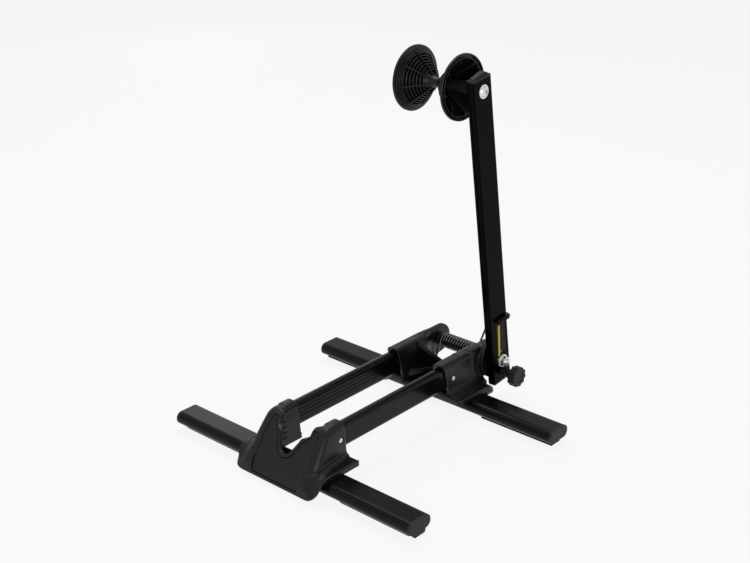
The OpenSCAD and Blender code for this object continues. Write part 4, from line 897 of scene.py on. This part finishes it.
# Wire, rubber sleeve and label on the arm
ARM_LEAN = math.radians(6.9)
COIL_RADIUS = 9.1
WIRE_RADIUS = 1.4
WIRE_SIDES = 14
CURLS = 14
CURL_STEPS = 48
COIL_LEFT = -28
COIL_RIGHT = 33
LEFT_ANGLE = 154.5
RIGHT_ANGLE = 143.8
LEFT_LEG = 27
RIGHT_LEG = 35
HOOK_BEND = 3.4
HOOK_BACK = 20.85
HOOK_FRONT = 72.75
HOOK_UP = 61
HOOK_END = -4
CORNER_ROUNDS = 3
SHARP_TURN = math.radians(40)
SLEEVE_RADIUS = 2.55
SLEEVE_RIBS = 13
SLEEVE_SIDES = 28
RIB_STEPS = 8
RIB_PROUD = 0.45
LABEL_FACE = 69.7
ARROW_SUNK = 0.05
ARROW_PROUD = 0.06
PIN_CURLS = 5
PIN_WIRE = 0.38
PIN_COIL = 3.2
PIN_STEPS = 24
PIN_SIDES = 10
PIN_SPRING_LEFT = 63.65
PIN_SPRING_RIGHT = 76.85


def at_pivot(points, lean=0.0):
    """Points about the pivot, turned by the arm's lean, in the record frame."""
    x, y, z = np.asarray(points, float).T
    turned = np.stack([x, y * math.cos(lean) - z * math.sin(lean),
                       y * math.sin(lean) + z * math.cos(lean)], 1)
    return turned + (0, PIVOT_Y + FRONT_FOOT_Y, PIVOT_Z)


def cut_corners(points):
    """The path with its corners rounded off; its two ends stay."""
    points = np.asarray(points, float)
    for _ in range(CORNER_ROUNDS):
        ahead = 0.75 * points[:-1] + 0.25 * points[1:]
        later = 0.25 * points[:-1] + 0.75 * points[1:]
        inner = np.stack([ahead, later], 1).reshape(-1, 3)
        points = np.concatenate([points[:1], inner[1:-1], points[-1:]])
    return points


def add_tube(mesh, path, radii, sides):
    """Adds a round tube along the path, with closed ends."""
    path = np.asarray(path, float)
    ways = np.gradient(path, axis=0)
    ways /= np.linalg.norm(ways, axis=1, keepdims=True)
    across = np.cross(ways[0], (0.3, 0.5, 0.8))
    rings = []
    for point, way, radius in zip(path, ways, np.broadcast_to(radii, len(path))):
        across = across - way * across.dot(way)
        across /= np.linalg.norm(across)
        up = np.cross(way, across)
        turns = [2 * math.pi * k / sides for k in range(sides)]
        rings.append([mesh.verts.new((point + radius * (math.cos(t) * across
                                                        + math.sin(t) * up)) * MM)
                      for t in turns])
    for near, far in zip(rings, rings[1:]):
        for k in range(sides):
            mesh.faces.new((near[k], near[(k + 1) % sides], far[(k + 1) % sides], far[k]))
    mesh.faces.new(rings[0][::-1])
    mesh.faces.new(rings[-1])


def finished(name, mesh):
    """The object of a mesh that is made by hand, smooth but for its sharp edges."""
    bmesh.ops.recalc_face_normals(mesh, faces=mesh.faces)
    data = bpy.data.meshes.new(name)
    mesh.to_mesh(data)
    mesh.free()
    data.shade_smooth()
    data.set_sharp_from_angle(angle=SHARP_TURN)
    return placed(name, data)


def tube(name, path, radii, sides):
    """A piece that is one round tube along the path."""
    mesh = bmesh.new()
    add_tube(mesh, path, radii, sides)
    return finished(name, mesh)


def coil_point(degrees, x):
    """Where the torsion spring's wire is at that turn, about the pivot."""
    turn = np.radians(degrees)
    return np.stack([x, COIL_RADIUS * np.cos(turn), COIL_RADIUS * np.sin(turn)], -1)


def make_torsion_spring():
    """Left leg, curls, right leg and hook: one wire, wound up between base and arm."""
    share = np.linspace(0, 1, CURLS * CURL_STEPS + 1)
    whole_turn = 360 * CURLS + LEFT_ANGLE - RIGHT_ANGLE
    coil = coil_point(LEFT_ANGLE - whole_turn * share, COIL_LEFT + (COIL_RIGHT - COIL_LEFT) * share)
    left, right = math.radians(LEFT_ANGLE), math.radians(RIGHT_ANGLE)
    left_way = np.array((0, -math.sin(left), math.cos(left)))
    right_way = np.array((0, math.sin(right), -math.cos(right)))
    left_leg = [coil[0] + left_way * LEFT_LEG * part for part in (1, 0.8, 0.5, 0.25, 0.05)]
    right_leg = [coil[-1] + right_way * RIGHT_LEG * part for part in (0.05, 0.25, 0.5, 0.8, 1)]
    hook = [(COIL_RIGHT, HOOK_BACK, HOOK_UP - 3 * HOOK_BEND), (COIL_RIGHT, HOOK_BACK, HOOK_UP),
            (HOOK_FRONT / 2 + COIL_RIGHT / 2, HOOK_BACK, HOOK_UP), (HOOK_FRONT, HOOK_BACK, HOOK_UP),
            (HOOK_FRONT, HOOK_BACK - 2 * HOOK_BEND, HOOK_UP), (HOOK_FRONT, HOOK_END, HOOK_UP)]
    rest = at_pivot(right_leg[-2:]), at_pivot(hook, ARM_LEAN)
    end = cut_corners(np.concatenate(rest))
    path = np.concatenate([at_pivot(left_leg), at_pivot(coil), at_pivot(right_leg[:-2]), end])
    spring = tube("torsion_spring_wire", path, WIRE_RADIUS, WIRE_SIDES)
    slot = SLOT_OF["torsion_spring"]
    spring.data.materials.append(MATERIALS[slot])
    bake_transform(spring)
    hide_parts("torsion_spring")


def make_hook_sleeve():
    """The ribbed rubber sleeve on the hook's end."""
    start, end = HOOK_END - WIRE_RADIUS, HOOK_BACK - HOOK_BEND - WIRE_RADIUS
    share = np.linspace(0, 1, SLEEVE_RIBS * RIB_STEPS + 1)
    ribs = np.abs(np.sin(math.pi * share * SLEEVE_RIBS)) ** 0.7
    ends = np.sqrt(np.clip(np.minimum(share, 1 - share) * 26, 0.05, 1))
    path = np.stack([np.full_like(share, HOOK_FRONT), start + (end - start) * share,
                     np.full_like(share, HOOK_UP)], 1)
    sleeve = tube("hook_sleeve_ribbed", at_pivot(path, ARM_LEAN),
                  (SLEEVE_RADIUS + RIB_PROUD * ribs) * ends, SLEEVE_SIDES)
    stand_for(sleeve, "hook_sleeve")


def make_plunger_spring():
    """The locking pin's small spring, squeezed between its collar and the barrel's lid."""
    share = np.linspace(0, 1, PIN_CURLS * PIN_STEPS + 1)
    turn = 2 * math.pi * PIN_CURLS * share
    low, high = PIN_SPRING_LEFT + PIN_WIRE, PIN_SPRING_RIGHT - PIN_WIRE
    path = np.stack([low + (high - low) * share, PIN_COIL * np.cos(turn),
                     PIN_COIL * np.sin(turn) - PIN_OFFSET], 1)
    spring = tube("plunger_spring_wire", at_pivot(path, ARM_LEAN), PIN_WIRE, PIN_SIDES)
    stand_for(spring, "plunger_spring")
    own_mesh(spring)


def flat_piece(name, corners, low, high):
    """A thin plate on the arm's side: corners are across and along the arm."""
    mesh = bmesh.new()
    for level, order in ((low, -1), (high, 1)):
        points = at_pivot([(level, across, along) for across, along in corners], ARM_LEAN) * MM
        mesh.faces.new([mesh.verts.new(point) for point in points][::order])
    mesh.verts.ensure_lookup_table()
    count = len(corners)
    for k in range(count):
        later = (k + 1) % count
        mesh.faces.new([mesh.verts[i] for i in (k, later, count + later, count + k)])
    return finished(name, mesh)


# Cones
ARM_REACH = 378
CONE_RADIUS = 41.5
CONE_PLANE = 39.5
CONE_SEGMENTS = 120
LINE_FAR, LINE_RADIUS = 11, 10
HUB_BORE = 4.1
NUT_ROOM = 5.65
RINGS = 7
FIRST_RING = 13.3
RING_PITCH = 3.06
RING_THICK = 1.35
RING_DEEP = 2.2
RING_PROUD = 3.1
CONE_RUN = 0.9375
FINE_STEPS = 4
FINE_FAR, FINE_NEAR = 31, 33.4
FINE_RUN, FINE_PITCH = 1.25, 1.3
CONE_RIBS = 8
RIB_HALF = 0.5
RIB_SIDES = 10
STEP_RIB_RADIUS = 0.62
BACK_RIB_RADIUS = 0.55
HOLLOW_RINGS = 8


def cone_line(radius):
    """Distance from the middle of the cone's steps at that radius."""
    return LINE_FAR + CONE_RUN * (radius - LINE_RADIUS)


def cone_profile():
    """The cone's section as (distance from the middle, radius), round its whole skin."""
    points = [(0, 6.2), (2.5, 6.3), (5, 6.7), (7.5, 7.5), (9.6, 8.6), (11.4, 9.9)]
    for i in range(RINGS):
        low = FIRST_RING + RING_PITCH * i
        high = FIRST_RING + RING_THICK + RING_PITCH * i
        top = cone_line(high) - RING_PROUD
        points += [(cone_line(low) + RING_DEEP, low), (top + 0.4, low), (top, low + 0.35),
                   (top, high - 0.35), (top + 0.4, high), (cone_line(high) + RING_DEEP, high)]
    for i in range(FINE_STEPS):
        far, near = FINE_FAR + FINE_RUN * i, FINE_NEAR + FINE_PITCH * i
        points += [(far + 0.9, near), (far, near + 0.15), (far, near + 1.0),
                   (far + 0.15, near + 1.15)]
    points += [(36.1, 38.6), (36.2, 40.9), (36.7, CONE_RADIUS), (39.0, CONE_RADIUS),
               (CONE_PLANE, 41.0), (CONE_PLANE, 39.8), (39.1, 39.4), (36.9, 39.2), (36.9, 36.7),
               (39.0, 36.6), (39.35, 36.25), (39.35, 35.55), (39.0, 35.2), (37.8, 34.9)]
    points += [(37.4, 34.7), (cone_line(20) + 3.9, 20), (cone_line(8.6) + 3.9, 8.6), (17, 8),
               (17, NUT_ROOM), (10.9, NUT_ROOM), (10.9, HUB_BORE), (0, HUB_BORE)]
    return points


def make_cone(node, way):
    """One cone: its turned skin, with ribs over the steps and in the hollow, which is less glossy
    and painted darker as shade.
    """
    centre = at_pivot([(0, 0, ARM_REACH)], ARM_LEAN)[0]

    def place(far, radius, turn, aside=0.0):
        outward = np.array((0, math.cos(turn), math.sin(turn)))
        sideways = np.array((0, -math.sin(turn), math.cos(turn)))
        return centre + np.array((way * far, 0, 0)) + outward * radius + sideways * aside

    mesh = bmesh.new()
    dullness_and_painted_shade = mesh.verts.layers.float.new(HOLLOW)
    turns = [2 * math.pi * k / CONE_SEGMENTS for k in range(CONE_SEGMENTS)]
    rings = [[mesh.verts.new(place(far, radius, turn) * MM) for turn in turns]
             for far, radius in cone_profile()]
    # The hollow's rings are marked, to be painted darker as shade and made less glossy.
    for ring in rings[-HOLLOW_RINGS:]:
        for corner in ring:
            corner[dullness_and_painted_shade] = 1
    for near, later in zip(rings, rings[1:] + rings[:1]):
        for k in range(CONE_SEGMENTS):
            mesh.faces.new((near[k], near[k - 1], later[k - 1], later[k]))
    step_rib = [(6.8, 7.6), (11.6, 14.5), (28.9, 33.0), (31.5, 34.6)]
    step_blade = step_rib + [(33.5, 34.6), (13.5, 9.0)]
    back_rib = [(39.1, 39.8), (39.1, 31.8), (36.4, 29.0), (cone_line(10) + 4.2, 10)]
    back_blade = back_rib + [(cone_line(10) + 3, 10), (36.3, 35.0), (36.8, 39.6)]
    for k in range(CONE_RIBS):
        turn = math.pi / 2 + ARM_LEAN + 2 * math.pi * k / CONE_RIBS
        for line, blade, thick in ((step_rib, step_blade, STEP_RIB_RADIUS),
                                   (back_rib, back_blade, BACK_RIB_RADIUS)):
            add_tube(mesh, [place(far, radius, turn) for far, radius in line], thick, RIB_SIDES)
            sides = [[mesh.verts.new(place(far, radius, turn, aside) * MM)
                      for far, radius in blade] for aside in (-RIB_HALF, RIB_HALF)]
            mesh.faces.new(sides[0])
            mesh.faces.new(sides[1][::-1])
            for i in range(len(blade)):
                mesh.faces.new((sides[0][i - 1], sides[0][i], sides[1][i], sides[1][i - 1]))
    stand_for(finished(node + "_stepped", mesh), node)


def make_arrow():
    """The label's plain yellow arrow, pointing down."""
    corners = [(0.6, 54), (-1.7, 15.5), (0.6, 15.7), (-4.2, 8.6), (-6.9, 9.6), (-5.6, 15.4),
               (-3.3, 54)]
    arrow = flat_piece("label_arrow", corners, LABEL_FACE - ARROW_SUNK,
                       LABEL_FACE + ARROW_PROUD)
    arrow.data.materials.append(MATERIALS["arrow_yellow"])
    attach(arrow, "arm")


bpy.context.scene.view_settings.view_transform = "Standard"
add_camera()
add_floor()
add_lights()
paint_nodes()
make_cradle()
make_bracket()
make_torsion_spring()
make_hook_sleeve()
make_plunger_spring()
make_arrow()
make_cone("left_cone", -1)
make_cone("right_cone", 1)
for node_name, edge_width in SOFT_EDGES.items():
    soft_copy(node_name, edge_width)
